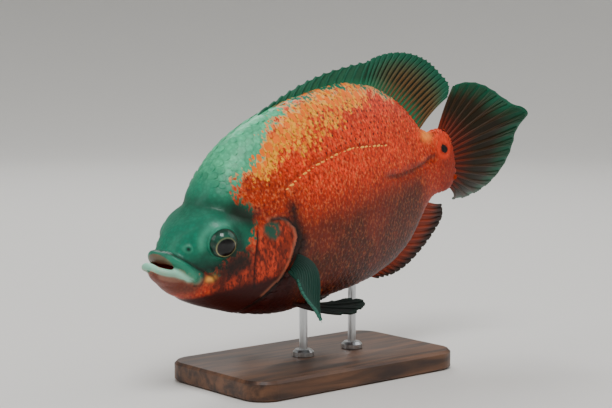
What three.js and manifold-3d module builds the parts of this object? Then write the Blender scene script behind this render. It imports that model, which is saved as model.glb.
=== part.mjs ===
// Adult oscar, a deep-bodied river cichlid, about 300 mm long, held nose down on a small display stand.
// Millimetres, +Z up. The snout points to -X and the fish's left side faces -Y.
// The origin is at the middle of the base's underside.
//
// The fish is laid out straight in its own frame: s runs from snout to tail, y is the side (left is
// negative) and z is up from the body's axis. Its rear is then bent to the left and the whole is pitched.
import * as THREE from "three";
import { mergeVertices } from "three/addons/utils/BufferGeometryUtils.js";
import Module from "manifold-3d";

// Driving dimensions
const GAP = 0.3; // between pieces that touch
const NOSE_DOWN = THREE.MathUtils.degToRad(11.5);
const PIVOT_S = 120; // station the fish is pitched about
const FISH_X = -6; // place of the pivot over the base
const FISH_Z = 104;
const BEND_START = 148; // the tail turns to the left from here
const BEND_LENGTH = 169;
const BEND_ANGLE = THREE.MathUtils.degToRad(32);

// Outlines along the body: station and height, or station and half width
const TOP_LINE = [
  [5, 4], [10, 5.5], [14, 8], [18, 11.2], [22, 14.4], [30, 19.8], [36.5, 25.8], [43, 33.6], [49, 40.5],
  [63, 51], [77, 57.3], [93, 62], [113, 65.5], [130, 67], [147, 67.5], [163, 66], [180, 60.5], [191, 54],
  [201, 45.5], [209, 36], [215, 26.5], [221, 21.5], [228, 21], [236, 22], [246, 22],
];
const BOTTOM_LINE = [
  [5, -16], [10, -22], [19.5, -29.5], [33, -37.8], [50, -46], [71, -53.5], [87, -56.5], [121, -57.5],
  [140, -58], [155, -57.5], [166, -56], [179, -52.5], [193, -45.5], [204, -35.5], [212, -27], [220, -21.5],
  [228, -21], [236, -22], [246, -22],
];
const HALF_WIDTH = [
  [5, 9.5], [10, 12.5], [20, 15.8], [30, 18.9], [42, 22], [56, 24.6], [72, 26], [88, 26.6], [104, 26.8],
  [122, 26], [142, 23.8], [162, 20.4], [182, 15.8], [200, 11], [214, 7.8], [226, 5.9], [238, 3.8], [246, 2.6],
];
const WIDEST = [[5, -4], [20, -5], [40, -6], [70, -6], [110, -2], [150, 2], [190, 3], [220, 1], [246, 0]];
const NOSE = { s: 7, z: -4.5, closing: 13 };
const TAIL_END = { s: 243, closing: 16 };
const BODY_STEPS = { length: 38, round: 30, crowding: 1.5 }; // the steps crowd towards the snout
const FULLNESS = { upper: 0.92, lower: 0.86 }; // below 1 the sides are fuller than an ellipse
const CORE = { halfWidth: 26, halfHeight: 60 }; // sizes that the slimmer inner form is scaled from

// Lines that part the body, as station and height
const GILL_OPENING = [
  [84, 75], [81, 45], [78, 22], [76.5, 9], [80.5, 4.8], [86, -1.5], [86.5, -7.5], [82.5, -14], [79.5, -20.5],
  [72.5, -29.5], [61.5, -37.5], [53, -44], [47, -51], [45, -75],
];
const GILL_COVER = [
  [62.5, 0], [65, 5.5], [70.5, 8], [80, 7.2], [92, 3], [93, -10], [87, -22], [79, -33], [68, -39],
  [57, -37.5], [52, -31], [57, -20], [60.5, -9],
];
const COVER = { thick: 3.2, lift: 1.9, s: 78, z: -13, length: 18, height: 21 };
const JAW_LINE = [[-14, -2.5], [8, -6.5], [16, -11.5], [22, -18], [29, -22], [40, -31], [50, -42], [53, -60]];
const STALK_START = 206;
const REACH = { front: -40, rear: 260, high: 90, low: -90, side: 60 }; // the parting prisms go past the fish
const NAPE_PARTING = 84; // station where the gill opening's line meets the back
const THROAT_PARTING = 45;
const JAW_TOP = -2.5;

// Head details; the lips are given by their middle line from the left corner to the front, as s, y and z
const EYE = { s: 36.3, z: 2.8, radius: 9.1, sunk: 3, rimRadius: 8.7, rimTube: 1.1, rimSunk: 0.6 };
const ORBIT = { lift: 5.7, s: 36, z: 5.5, length: 13, height: 12 }; // mound of flesh that carries the eye
const BROW = { lift: 4.6, s: 34, z: 14.5, length: 11, height: 6.5 }; // ridge above the eye
const NOSTRIL = { s: 19.2, z: 3.4, outer: 1.9, inner: 0.9, wall: 0.6, height: 3, proud: 0.6, depth: 2.5 };
const UPPER_LIP = {
  path: [
    [20.8, -16, -15.4], [17.6, -15.8, -10.2], [14.9, -14.6, -5.2], [12.6, -12.2, -2.4], [11, -8.9, -0.8],
    [10, -4.7, -0.3], [9.5, 0, -0.5],
  ],
  high: 3.8, thick: 3.1,
};
const LOWER_LIP = {
  path: [
    [16.9, -14.5, -14.2], [14.3, -14, -11.9], [10.8, -12.2, -8.8], [6.2, -9.6, -6.9], [2.7, -6.2, -4.9],
    [1.2, -3, -3.3], [0.8, 0, -2.8],
  ],
  high: 2.2, thick: 2.4,
};
const LIP_END = 0.25; // how bluntly the lips close at the corners of the mouth
const LIP_STEPS = { length: 20, round: 8 };
const MOUTH = { s: 12.5, z: -4, reach: 12, halfWidth: 11, halfHeight: 5, degrees: 16 };
const CHIN = { s: 12.5, z: -12.5, reach: 12, halfWidth: 11.5, halfHeight: 6.5, degrees: 34 };
const CHIN_BASE = { s: 14.5, z: -15.5, reach: 14, halfWidth: 10, halfHeight: 7.3, degrees: 50 };

// Fins; tips run from the first ray to the last
const SINK_LEAN = 0.6; // a sunk root also moves this share of its depth forward
const DORSAL = {
  spines: 13, softRays: 19, sink: 5, bow: [-0.8, 0, 1.2], sway: 1.6, swayStep: 0.55,
  firstRoot: 94, lastSpineRoot: 176, firstSoftRoot: 180, lastRoot: 216,
  spineTips: [[102, 0, 64.5], [118, 0, 68.8], [135, 0, 72.8], [150, 0, 75], [168, 0, 75.4], [186, 0, 74.8]],
  softTips: [
    [191, 0, 75.5], [203, 0, 76], [215, 0, 74], [226, 0, 69], [235, 0, 62.5], [242, 0, 54.5], [246, 0, 47],
    [243, 0, 40.5],
  ],
};
const ANAL = {
  rays: 17, sink: 5, bow: [0, -1.5, -1.2], firstRoot: 159, lastRoot: 213,
  tips: [
    [168, 0.4, -60.5], [180, 2, -62.2], [195, 4.5, -61], [211, 8, -56], [226, 11.5, -48.5], [236, 14, -40.5],
    [236, 13, -33],
  ],
};
const CAUDAL = {
  rays: 17, upper: 65, lower: -54, rootS: 234, rootHalf: 17, centreS: 229, sink: 4, bow: 1.6,
  length: 63, cornerCut: 13, lowerCut: 7, lowerRounding: 4,
  point: { extra: 8.5, degrees: 15, width: 7 }, // the longest rays draw the edge out to a point
  curl: { reach: 30, from: 14, over: 60, easing: 0.9 },
  lean: { reach: 9, degrees: 20, width: 10 },
};
const PECTORAL = {
  rays: 12, rootS: 80, rootLean: 2.5, rootY: 25, rootTop: -17.5, rootBottom: -25, sink: 5,
  leftTips: [[-3.7, 11, -9.5], [-5.3, 15, -15.8], [-4.4, 18, -21.2], [-2.8, 21, -26.7], [-1.3, 23, -33.6]],
  leftBow: [7.5, 8, 4],
  rightTips: [[20, 28, -34], [26, 27, -29], [31, 24, -22], [32, 20, -14], [30, 17, -8], [25, 14, -2]],
  rightBow: [2.5, 2.5, 1],
  bowEasing: 0.7,
};
const PELVIC = {
  rays: 6,
  roots: [[86, 12, -50], [89, 10, -51.5], [92, 8, -52.5], [95, 7, -53]],
  tips: [[116, 22, -65], [129, 21, -68], [140, 17, -65.5], [134, 12, -62.5], [121, 9, -60.5]],
  spread: 4, bow: [0, 2, -1.5],
};
const MEMBRANE = 0.7;

// Stand
const BASE = { length: 160, width: 92, height: 12, corner: 14, bevel: 1.6 };
const ROD = {
  radius: 2.5, steps: 20, intoBelly: 8, frontS: 105, rearS: 145,
  collarRadius: 6.5, collarHeight: 4, collarBevel: 1.5,
};

const wasm = await Module();
wasm.setup();

const { clamp, lerp, degToRad } = THREE.MathUtils;
const bump = (x, centre, width) => Math.exp(-(((x - centre) / width) ** 2));

// A smooth curve through points, read at any station
function along(points) {
  const slopes = points.map((p, i) => {
    const a = points[Math.max(i - 1, 0)];
    const b = points[Math.min(i + 1, points.length - 1)];
    return (b[1] - a[1]) / (b[0] - a[0]);
  });
  return (s) => {
    const next = points.findIndex((p) => p[0] > s);
    const k = clamp((next < 0 ? points.length : next) - 1, 0, points.length - 2);
    const width = points[k + 1][0] - points[k][0];
    const t = clamp((s - points[k][0]) / width, 0, 1);
    const ease = t * t * (3 - 2 * t);
    return lerp(points[k][1], points[k + 1][1], ease)
      + width * (slopes[k] * t * (1 - t) ** 2 - slopes[k + 1] * t * t * (1 - t));
  };
}

const topLine = along(TOP_LINE);
const bottomLine = along(BOTTOM_LINE);
const halfWidth = along(HALF_WIDTH);
const widest = along(WIDEST);

// The rear of the body follows a spine that turns to the left
function bend(s, y, z) {
  const steps = 24;
  const over = Math.max(s - BEND_START, 0);
  const heading = (share) => BEND_ANGLE * (share * over / BEND_LENGTH) ** 2;
  let x = Math.min(s, BEND_START);
  let side = 0;
  for (let i = 0; i < steps; i++) {
    const angle = heading((i + 0.5) / steps);
    x += Math.cos(angle) * over / steps;
    side -= Math.sin(angle) * over / steps;
  }
  const turn = heading(1);
  return new THREE.Vector3(x + Math.sin(turn) * y, side + Math.cos(turn) * y, z);
}

// From the fish's own frame to the part's frame
function pose(s, y, z) {
  const p = bend(s, y, z);
  const x = p.x - PIVOT_S;
  return new THREE.Vector3(
    FISH_X + x * Math.cos(NOSE_DOWN) - z * Math.sin(NOSE_DOWN),
    p.y,
    FISH_Z + x * Math.sin(NOSE_DOWN) + z * Math.cos(NOSE_DOWN),
  );
}

// Closed geometry as a solid, turned the right way out
function solidOf(geometry) {
  const bare = new THREE.BufferGeometry().setAttribute("position", geometry.getAttribute("position").clone());
  if (geometry.index) bare.setIndex(geometry.index.clone());
  const merged = mergeVertices(bare, 1e-3);
  const spots = merged.getAttribute("position");
  const corner = (i) => new THREE.Vector3().fromBufferAttribute(spots, i);
  const triangles = [];
  let volume = 0;
  for (let i = 0; i < merged.index.count; i += 3) {
    const [a, b, c] = [0, 1, 2].map((k) => merged.index.getX(i + k));
    if (a === b || b === c || a === c) continue;
    triangles.push(a, b, c);
    volume += corner(a).dot(corner(b).cross(corner(c)));
  }
  if (volume < 0) triangles.reverse();
  return new wasm.Manifold(new wasm.Mesh({
    numProp: 3, vertProperties: new Float32Array(spots.array), triVerts: new Uint32Array(triangles),
  }));
}

function geometryOf(solid) {
  const mesh = solid.getMesh();
  return new THREE.BufferGeometry()
    .setAttribute("position", new THREE.BufferAttribute(new Float32Array(mesh.vertProperties), 3))
    .setIndex(new THREE.BufferAttribute(new Uint32Array(mesh.triVerts), 1));
}

// The largest closed surface, when a cut leaves scraps
const largest = (solid) => solid.decompose().reduce((a, b) => (b.volume() > a.volume() ? b : a));

function mapped(geometry, place) {
  const spots = geometry.getAttribute("position");
  for (let i = 0; i < spots.count; i++) {
    const p = place(spots.getX(i), spots.getY(i), spots.getZ(i));
    spots.setXYZ(i, p.x, p.y, p.z);
  }
  return geometry;
}

// A round form from pole to pole: place(t, turn) gives the surface, with t from 0 to 1 between the poles
function loft(lengthSteps, roundSteps, place) {
  const ball = new THREE.SphereGeometry(1, roundSteps, lengthSteps);
  const uv = ball.getAttribute("uv");
  const spots = ball.getAttribute("position");
  for (let i = 0; i < spots.count; i++) {
    const t = 1 - uv.getY(i);
    const atPole = t < 1e-6 || t > 1 - 1e-6;
    const p = place(t, atPole ? 0 : (uv.getX(i) % 1) * 2 * Math.PI);
    spots.setXYZ(i, p.x, p.y, p.z);
  }
  return solidOf(ball);
}

// Closing of the two ends of the body, 0 at the pole and 1 where the outline takes over
const rounded = (share) => Math.sqrt(1 - (1 - clamp(share, 0, 1)) ** 2);
const nearNose = (s) => rounded((s - NOSE.s) / NOSE.closing);
const nearTail = (s) => rounded((TAIL_END.s - s) / TAIL_END.closing);

const mound = ({ lift, s, z, length, height }, atS, atZ) => (
  lift * bump(atS, s, length) * bump(atZ, z, height));

// Body surface at a station and a turn round it; the head has mounds for the gill covers and the eyes
function bodySurface(s, turn, swell) {
  const shut = nearNose(s) * nearTail(s);
  const middle = lerp(NOSE.z, widest(s), nearNose(s));
  const up = Math.sin(turn);
  const across = Math.cos(turn);
  const reach = up > 0 ? topLine(s) - middle : middle - bottomLine(s);
  const z = middle + reach * up * shut;
  const y = Math.abs(across) ** (up > 0 ? FULLNESS.upper : FULLNESS.lower) * halfWidth(s) * shut;
  const out = (swell ? mound(COVER, s, z) : 0) + mound(ORBIT, s, z) + mound(BROW, s, z);
  return new THREE.Vector3(s, Math.sign(across) * (y + out * Math.min(1, Math.abs(across) * 2)), z);
}

// The whole body, grown outwards by extra, or made slimmer by about slim
function body({ extra = 0, swell = false, slim = 0 } = {}) {
  const surface = (t, turn) => {
    const s = lerp(NOSE.s, TAIL_END.s, clamp(t, 0, 1) ** BODY_STEPS.crowding);
    const p = bodySurface(clamp(s, NOSE.s + 1e-4, TAIL_END.s - 1e-4), turn, swell);
    return p.multiply(new THREE.Vector3(1, 1 - slim / CORE.halfWidth, 1 - slim / CORE.halfHeight));
  };
  const e = 1e-3;
  return loft(BODY_STEPS.length, BODY_STEPS.round, (t, turn) => {
    const p = surface(t, turn);
    if (extra === 0) return p;
    if (t < 1e-6) return p.setX(p.x - extra);
    if (t > 1 - 1e-6) return p.setX(p.x + extra);
    const lengthwise = surface(t + e, turn).sub(surface(t - e, turn));
    const round = surface(t, turn + e).sub(surface(t, turn - e));
    return p.addScaledVector(round.cross(lengthwise).normalize(), extra);
  });
}

// A point of the body's side at a station and height, and the way the skin faces there
function onSkin(s, z, side) {
  let low = -Math.PI / 2;
  let high = Math.PI / 2;
  for (let i = 0; i < 30; i++) {
    const turn = (low + high) / 2;
    if (bodySurface(s, turn, false).z < z) low = turn;
    else high = turn;
  }
  const e = 0.01;
  const point = bodySurface(s, low, false);
  const lengthwise = bodySurface(s + e, low, false).sub(bodySurface(s - e, low, false));
  const round = bodySurface(s, low + e, false).sub(bodySurface(s, low - e, false));
  const facing = round.cross(lengthwise).normalize();
  if (facing.y < 0) facing.negate();
  return { point: point.setY(side * point.y), facing: facing.setY(side * facing.y) };
}

// A prism through the fish from side to side, with a given outline in s and z
function prism(outline, fromY = -REACH.side, toY = REACH.side) {
  const shape = new THREE.Shape(outline.map(([s, z]) => new THREE.Vector2(s, z)));
  const geometry = new THREE.ExtrudeGeometry(shape, { depth: toY - fromY, bevelEnabled: false });
  return solidOf(mapped(geometry, (x, y, z) => new THREE.Vector3(x, fromY + z, y)));
}

const path3 = (points, closed = false) => new THREE.CatmullRomCurve3(
  points.map((p) => new THREE.Vector3(...p)), closed);
const smoothLine = (points, steps) => path3(points.map(([s, z]) => [s, z, 0])).getSpacedPoints(steps)
  .map((p) => [p.x, p.y]);
const moved = (points, ds, dz) => points.map(([s, z]) => [s + ds, z + dz]);

// A smooth closed outline, grown by a little
function smoothLoop(points, steps, grow) {
  const ring = path3(points.map(([s, z]) => [s, z, 0]), true).getSpacedPoints(steps).slice(0, -1);
  return ring.map((p, i) => {
    const before = ring[(i + ring.length - 1) % ring.length];
    const after = ring[(i + 1) % ring.length];
    const out = new THREE.Vector2(before.y - after.y, after.x - before.x).normalize();
    return [p.x + out.x * grow, p.y + out.y * grow];
  });
}

// A lip: a flattened roll that follows its path from one corner of the mouth to the other
function lip({ path, high, thick }, extra = 0) {
  const whole = path3([...path, ...path.slice(0, -1).reverse().map(([s, y, z]) => [s, -y, z])]);
  const up = new THREE.Vector3(0, 0, 1);
  return loft(LIP_STEPS.length, LIP_STEPS.round, (t, turn) => {
    const tangent = whole.getTangentAt(clamp(t, 0.001, 0.999));
    const out = new THREE.Vector3().crossVectors(up, tangent).normalize();
    const over = new THREE.Vector3().crossVectors(tangent, out);
    const round = Math.sin(Math.PI * clamp(t, 0, 1)) ** LIP_END;
    return whole.getPointAt(clamp(t, 0, 1))
      .addScaledVector(out, Math.cos(turn) * (thick + extra) * round)
      .addScaledVector(over, Math.sin(turn) * (high + extra) * round);
  });
}

// A geometry built along +Y, stood on a point and pointed along an axis
function stoodOn(geometry, point, axis) {
  geometry.applyQuaternion(new THREE.Quaternion().setFromUnitVectors(new THREE.Vector3(0, 1, 0), axis));
  return solidOf(geometry.translate(point.x, point.y, point.z));
}

// A fin: a thin sheet with a raised ray at each step and the same split of triangles on both faces.
// at(ray, v) gives the middle surface, ray from 0 to rays - 1 and v from 0 at the root to 1 at the edge.
function fin({ rays, rows, at, rayHeight, scallop, rootThick, rayWidth = 0.3 }) {
  const columns = [];
  for (let ray = 0; ray < rays; ray++) {
    columns.push({ ray, crest: 1 });
    if (ray === rays - 1) break;
    columns.push({ ray: ray + rayWidth, crest: 0 }, { ray: ray + 1 - rayWidth, crest: 0 });
  }
  const e = 0.02;
  const sheet = new THREE.PlaneGeometry(1, 1, columns.length - 1, rows);
  const faces = [1, -1].flatMap((side) => {
    const spots = sheet.getAttribute("position");
    columns.forEach(({ ray, crest }, i) => {
      for (let row = 0; row <= rows; row++) {
        const share = row / rows;
        const v = share * (crest ? 1 : 1 - scallop(ray) * share ** 3);
        const thick = MEMBRANE + crest * rayHeight(ray) * (1 - 0.75 * share)
          + rootThick * Math.max(0, 1 - share * 3.2) ** 2;
        const lengthwise = at(ray, v + e).sub(at(ray, v - e));
        const across = at(ray + e, v).sub(at(ray - e, v));
        const p = at(ray, v).addScaledVector(lengthwise.cross(across).normalize(), side * thick / 2);
        spots.setXYZ(row * columns.length + i, p.x, p.y, p.z);
      }
    });
    return Array.from(spots.array);
  });
  const wide = columns.length;
  const count = wide * (rows + 1);
  const edge = [];
  for (let i = 0; i < wide - 1; i++) edge.push([i, i + 1], [rows * wide + i + 1, rows * wide + i]);
  for (let row = 0; row < rows; row++) {
    edge.push([(row + 1) * wide, row * wide], [row * wide + wide - 1, (row + 1) * wide + wide - 1]);
  }
  const front = Array.from(sheet.index.array);
  const back = front.map((vertex) => vertex + count);
  for (let i = 0; i < back.length; i += 3) [back[i + 1], back[i + 2]] = [back[i + 2], back[i + 1]];
  const rim = edge.flatMap(([a, b]) => [a, b, a + count, b, b + count, a + count]);
  const whole = new THREE.BufferGeometry()
    .setAttribute("position", new THREE.BufferAttribute(new Float32Array(faces), 3));
  return solidOf(whole.setIndex([...front, ...back, ...rim]));
}

// A point on the way from root to tip, on a shallow bow
const between = (root, tip, v, bow) => root.clone().lerp(tip, v).addScaledVector(bow, v * (1 - v) * 4);

// The same with the bow nearest the root, where a folded fin turns down
const bentEarly = (root, tip, v, bow) => (
  root.clone().lerp(tip, v).addScaledVector(bow, v * (1 - v) ** 2 * 6.75));

function dorsalFin() {
  const spineTips = path3(DORSAL.spineTips);
  const softTips = path3(DORSAL.softTips);
  return fin({
    rays: DORSAL.spines + DORSAL.softRays, rows: 4, rootThick: 2.6,
    rayHeight: (ray) => (ray < DORSAL.spines ? 1 : 0.75),
    scallop: (ray) => (ray < DORSAL.spines ? 0.07 : 0.03),
    at: (ray, v) => {
      const spiny = ray < DORSAL.spines - 0.5;
      const share = spiny ? ray / (DORSAL.spines - 1) : (ray - DORSAL.spines) / (DORSAL.softRays - 1);
      const s = spiny ? lerp(DORSAL.firstRoot, DORSAL.lastSpineRoot, share)
        : lerp(DORSAL.firstSoftRoot, DORSAL.lastRoot, share);
      const tip = (spiny ? spineTips : softTips).getPoint(clamp(share, 0, 1));
      tip.y = DORSAL.sway * Math.sin(ray * DORSAL.swayStep) * v * v;
      const root = new THREE.Vector3(s - DORSAL.sink * SINK_LEAN, 0, topLine(s) - DORSAL.sink);
      return between(root, tip, v, new THREE.Vector3(...DORSAL.bow));
    },
  });
}

function analFin() {
  const tips = path3(ANAL.tips);
  return fin({
    rays: ANAL.rays, rows: 4, rootThick: 2.4,
    rayHeight: () => 0.8,
    scallop: (ray) => (ray < 3 ? 0.06 : 0.03),
    at: (ray, v) => {
      const share = ray / (ANAL.rays - 1);
      const s = lerp(ANAL.firstRoot, ANAL.lastRoot, share);
      const root = new THREE.Vector3(s - ANAL.sink * SINK_LEAN, 0, bottomLine(s) + ANAL.sink);
      const bow = new THREE.Vector3(...ANAL.bow).multiply(new THREE.Vector3(1, share, 1));
      return between(root, tips.getPoint(clamp(share, 0, 1)), v, bow);
    },
  });
}

// The tail fan is curled: its lower rays swing to the fish's right, its upper corner a little to the left
function caudalFin() {
  const { upper, lower, centreS, length, cornerCut, lowerCut, lowerRounding, point, curl, lean } = CAUDAL;
  return fin({
    rays: CAUDAL.rays, rows: 5, rootThick: 3.2,
    rayHeight: () => 0.9,
    scallop: () => 0.03,
    at: (ray, v) => {
      const degrees = lerp(upper, lower, ray / (CAUDAL.rays - 1));
      const angle = degToRad(degrees);
      const low = clamp(degrees / lower, 0, 1);
      const reach = length - cornerCut * Math.abs(degrees / upper) ** 3 - lowerCut * low
        - lowerRounding * low ** 6 + point.extra * bump(degrees, point.degrees, point.width);
      const aside = curl.reach * clamp((curl.from - degrees) / curl.over, 0, 1) ** curl.easing
        - lean.reach * bump(degrees, lean.degrees, lean.width);
      const root = new THREE.Vector3(
        CAUDAL.rootS - CAUDAL.sink * (1 - Math.cos(angle)), 0, CAUDAL.rootHalf * degrees / upper);
      const tip = new THREE.Vector3(centreS + reach * Math.cos(angle), 0, reach * Math.sin(angle));
      const p = between(root, tip, v, new THREE.Vector3(0, 0, CAUDAL.bow * Math.sin(angle)));
      return p.setY(aside * v * v);
    },
  });
}

function pectoralFin(side) {
  const offsets = path3(side < 0 ? PECTORAL.leftTips : PECTORAL.rightTips);
  const [bowS, bowY, bowZ] = side < 0 ? PECTORAL.leftBow : PECTORAL.rightBow;
  const { rays, rootS, rootLean, rootY, rootTop, rootBottom, sink } = PECTORAL;
  return fin({
    rays, rows: 5, rootThick: 1.8,
    rayHeight: (ray) => (ray < 1 ? 1.1 : 0.65),
    scallop: () => 0,
    at: (ray, v) => {
      const whole = ray / (rays - 1);
      const share = clamp(whole, 0, 1);
      const root = new THREE.Vector3(
        rootS + rootLean * whole, side * (rootY - sink), lerp(rootBottom, rootTop, whole));
      const tip = offsets.getPoint(share);
      tip.set(rootS + tip.x, side * (rootY + tip.y), (rootTop + rootBottom) / 2 + tip.z);
      const bow = new THREE.Vector3(bowS, side * bowY, bowZ).multiplyScalar(share ** PECTORAL.bowEasing);
      return bentEarly(root, tip, v, bow);
    },
  });
}

function pelvicFin(side) {
  const roots = path3(PELVIC.roots);
  const tips = path3(PELVIC.tips);
  return fin({
    rays: PELVIC.rays, rows: 5, rootThick: 1.8, rayWidth: 0.22,
    rayHeight: (ray) => (ray < 1 ? 1.2 : 0.9),
    scallop: () => 0.05,
    at: (ray, v) => {
      const whole = ray / (PELVIC.rays - 1);
      const share = clamp(whole, 0, 1);
      const p = between(roots.getPoint(share), tips.getPoint(share), v, new THREE.Vector3(...PELVIC.bow));
      const past = (whole - share) * PELVIC.spread;
      return new THREE.Vector3(p.x + past, side * (p.y - past), p.z);
    },
  });
}

// Body forms and the prisms that part them
const swollen = body({ swell: true });
const smooth = body();
const grown = body({ extra: GAP, swell: true });
const gillLine = smoothLine(GILL_OPENING, 26);
const { front, rear, high, low } = REACH;
const headRegion = prism([
  [front, high], [NAPE_PARTING, high], ...gillLine, [THROAT_PARTING, low], [front, low],
]);
const behindHead = prism([
  [rear, high], [NAPE_PARTING + GAP, high], ...moved(gillLine, GAP, 0),
  [THROAT_PARTING + GAP, low], [rear, low],
]);
const upTo = (from, to) => prism([[from, high], [to, high], [to, low], [from, low]]);
const trunkRegion = upTo(0, STALK_START);
const stalkRegion = upTo(STALK_START + GAP, rear);
const jawLine = smoothLine(JAW_LINE, 14);
const jawRegion = prism([...jawLine, [front, low], [front, JAW_TOP]]);
const aboveJaw = prism([
  [front, high], [front, JAW_TOP + GAP], ...moved(jawLine, GAP * 0.6, GAP), [rear, low], [rear, high],
]);
const coverRegion = (grow) => prism(smoothLoop(GILL_COVER, 34, grow));
const wholeSide = [[front, low], [rear, low], [rear, high], [front, high]]; // outline of all the fish
const halfOf = (side) => (side < 0 ? prism(wholeSide, -REACH.side, 0) : prism(wholeSide, 0, REACH.side));

// Eyes sit in a raised ring; each is a ball that bulges well out of the head
function eye(side, extra = 0) {
  const { point, facing } = onSkin(EYE.s, EYE.z, side);
  const ball = new THREE.SphereGeometry(EYE.radius + extra, 16, 10);
  return stoodOn(ball, point.addScaledVector(facing, -EYE.sunk), facing);
}

function eyeRing(side) {
  const { point, facing } = onSkin(EYE.s, EYE.z, side);
  const ring = new THREE.TorusGeometry(EYE.rimRadius, EYE.rimTube, 6, 16).rotateX(Math.PI / 2);
  return stoodOn(ring, point.addScaledVector(facing, -EYE.rimSunk), facing);
}

function nostrilRing(side) {
  const { point, facing } = onSkin(NOSTRIL.s, NOSTRIL.z, side);
  const { inner, wall, outer, height, proud } = NOSTRIL;
  const ring = new THREE.CylinderGeometry(inner + wall, outer, height, 10);
  return stoodOn(ring.translate(0, proud - height / 2, 0), point, facing);
}

function nostrilPit(side) {
  const { point, facing } = onSkin(NOSTRIL.s, NOSTRIL.z, side);
  const { inner, depth } = NOSTRIL;
  return stoodOn(new THREE.CylinderGeometry(inner, inner, depth * 2, 8), point, facing);
}

// An egg-shaped form that slopes down towards the rear
function egg({ s, z, reach, halfWidth: halfAcross, halfHeight, degrees }) {
  const ball = new THREE.SphereGeometry(1, 14, 8).scale(reach, halfAcross, halfHeight);
  return solidOf(ball.rotateY(degToRad(degrees)).translate(s, 0, z));
}

// The head with its seats for the eyes and gill covers, before the mouth is cut
function headForm() {
  let head = swollen.intersect(headRegion).add(egg(CHIN).add(egg(CHIN_BASE)).intersect(jawRegion));
  for (const side of [-1, 1]) {
    head = head.add(eyeRing(side)).add(nostrilRing(side)).subtract(nostrilPit(side)).subtract(eye(side, GAP));
  }
  return head.subtract(coverRegion(GAP).subtract(body({ slim: COVER.thick + GAP, swell: true })));
}

const headWhole = headForm().subtract(egg(MOUTH)).subtract(lip(UPPER_LIP, GAP));
const head = largest(headWhole.intersect(aboveJaw).subtract(lip(LOWER_LIP, GAP)));
const lowerJaw = largest(headWhole.intersect(jawRegion).add(lip(LOWER_LIP)));
const upperLip = largest(lip(UPPER_LIP).subtract(lip(LOWER_LIP, GAP)));
const trunk = largest(smooth.intersect(behindHead).intersect(trunkRegion));
const tailStalk = largest(smooth.intersect(stalkRegion));
const coverCore = body({ slim: COVER.thick, swell: true });
const gillCovers = swollen.intersect(coverRegion(0)).intersect(headRegion).subtract(coverCore);
const clearOfBody = (solid) => largest(solid.subtract(grown));

// Each rod stands in a collar on the base and its top fits the belly
const posedBody = solidOf(mapped(geometryOf(grown), pose));
function rod(station) {
  const belly = pose(station, 0, bottomLine(station));
  const foot = BASE.height + GAP;
  const length = belly.z + ROD.intoBelly - foot;
  const bar = new THREE.CylinderGeometry(ROD.radius, ROD.radius, length, ROD.steps)
    .rotateX(Math.PI / 2).translate(belly.x, 0, foot + length / 2);
  const { collarRadius, collarHeight, collarBevel } = ROD;
  const profile = [
    [0, 0], [collarRadius, 0], [collarRadius, collarHeight - collarBevel],
    [collarRadius - collarBevel, collarHeight], [0, collarHeight],
  ];
  const collar = new THREE.LatheGeometry(profile.map((p) => new THREE.Vector2(...p)), ROD.steps)
    .rotateX(Math.PI / 2).translate(belly.x, 0, foot);
  return largest(solidOf(bar).subtract(posedBody)).add(solidOf(collar));
}

function baseBlock() {
  const { length, width, height, corner, bevel } = BASE;
  const x = length / 2 - bevel - corner;
  const y = width / 2 - bevel - corner;
  const outline = new THREE.Shape()
    .absarc(x, y, corner, 0, Math.PI / 2)
    .absarc(-x, y, corner, Math.PI / 2, Math.PI)
    .absarc(-x, -y, corner, Math.PI, Math.PI * 1.5)
    .absarc(x, -y, corner, Math.PI * 1.5, Math.PI * 2);
  const block = new THREE.ExtrudeGeometry(outline, {
    depth: height - 2 * bevel, bevelSize: bevel, bevelThickness: bevel, bevelSegments: 1, curveSegments: 6,
  });
  return solidOf(block.translate(0, 0, bevel));
}

// Materials
const finish = (color, roughness, metalness = 0) => (
  new THREE.MeshStandardMaterial({ color, roughness, metalness }));
const tealSkin = finish("#3f8f78", 0.4);
const redSkin = finish("#c8502c", 0.45);
const lipSkin = finish("#7fb9a4", 0.4);
const finSkin = finish("#2f5a4a", 0.5);
const darkEye = finish("#0b1a16", 0.1);
const walnut = finish("#4a2e1c", 0.5);
const steel = finish("#b9bcc0", 0.3, 1);

const fish = new THREE.Group();
function add(name, geometry, material) {
  const mesh = new THREE.Mesh(geometry, material);
  mesh.name = name;
  fish.add(mesh);
}
const posed = (solid) => mapped(geometryOf(solid), pose);

add("head", posed(head), tealSkin);
add("upper_lip", posed(upperLip), lipSkin);
add("lower_jaw", posed(lowerJaw), lipSkin);
add("trunk", posed(trunk), redSkin);
add("tail_stalk", posed(tailStalk), redSkin);
for (const [side, name] of [[-1, "left"], [1, "right"]]) {
  add(`eye_${name}`, posed(eye(side)), darkEye);
  add(`gill_cover_${name}`, posed(largest(gillCovers.intersect(halfOf(side)))), redSkin);
  add(`pectoral_fin_${name}`, posed(clearOfBody(pectoralFin(side))), finSkin);
  add(`pelvic_fin_${name}`, posed(clearOfBody(pelvicFin(side))), finSkin);
}
add("dorsal_fin", posed(clearOfBody(dorsalFin())), finSkin);
add("anal_fin", posed(clearOfBody(analFin())), finSkin);
add("caudal_fin", posed(clearOfBody(caudalFin())), finSkin);
add("stand_base", geometryOf(baseBlock()), walnut);
add("stand_rod_front", geometryOf(rod(ROD.frontS)), steel);
add("stand_rod_rear", geometryOf(rod(ROD.rearS)), steel);

export default fish;
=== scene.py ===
# An adult oscar cichlid, life size, modelled as in the photograph and held on a small display stand.
import math

import bpy
import numpy as np
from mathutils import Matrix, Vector
from mathutils.bvhtree import BVHTree


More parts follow.
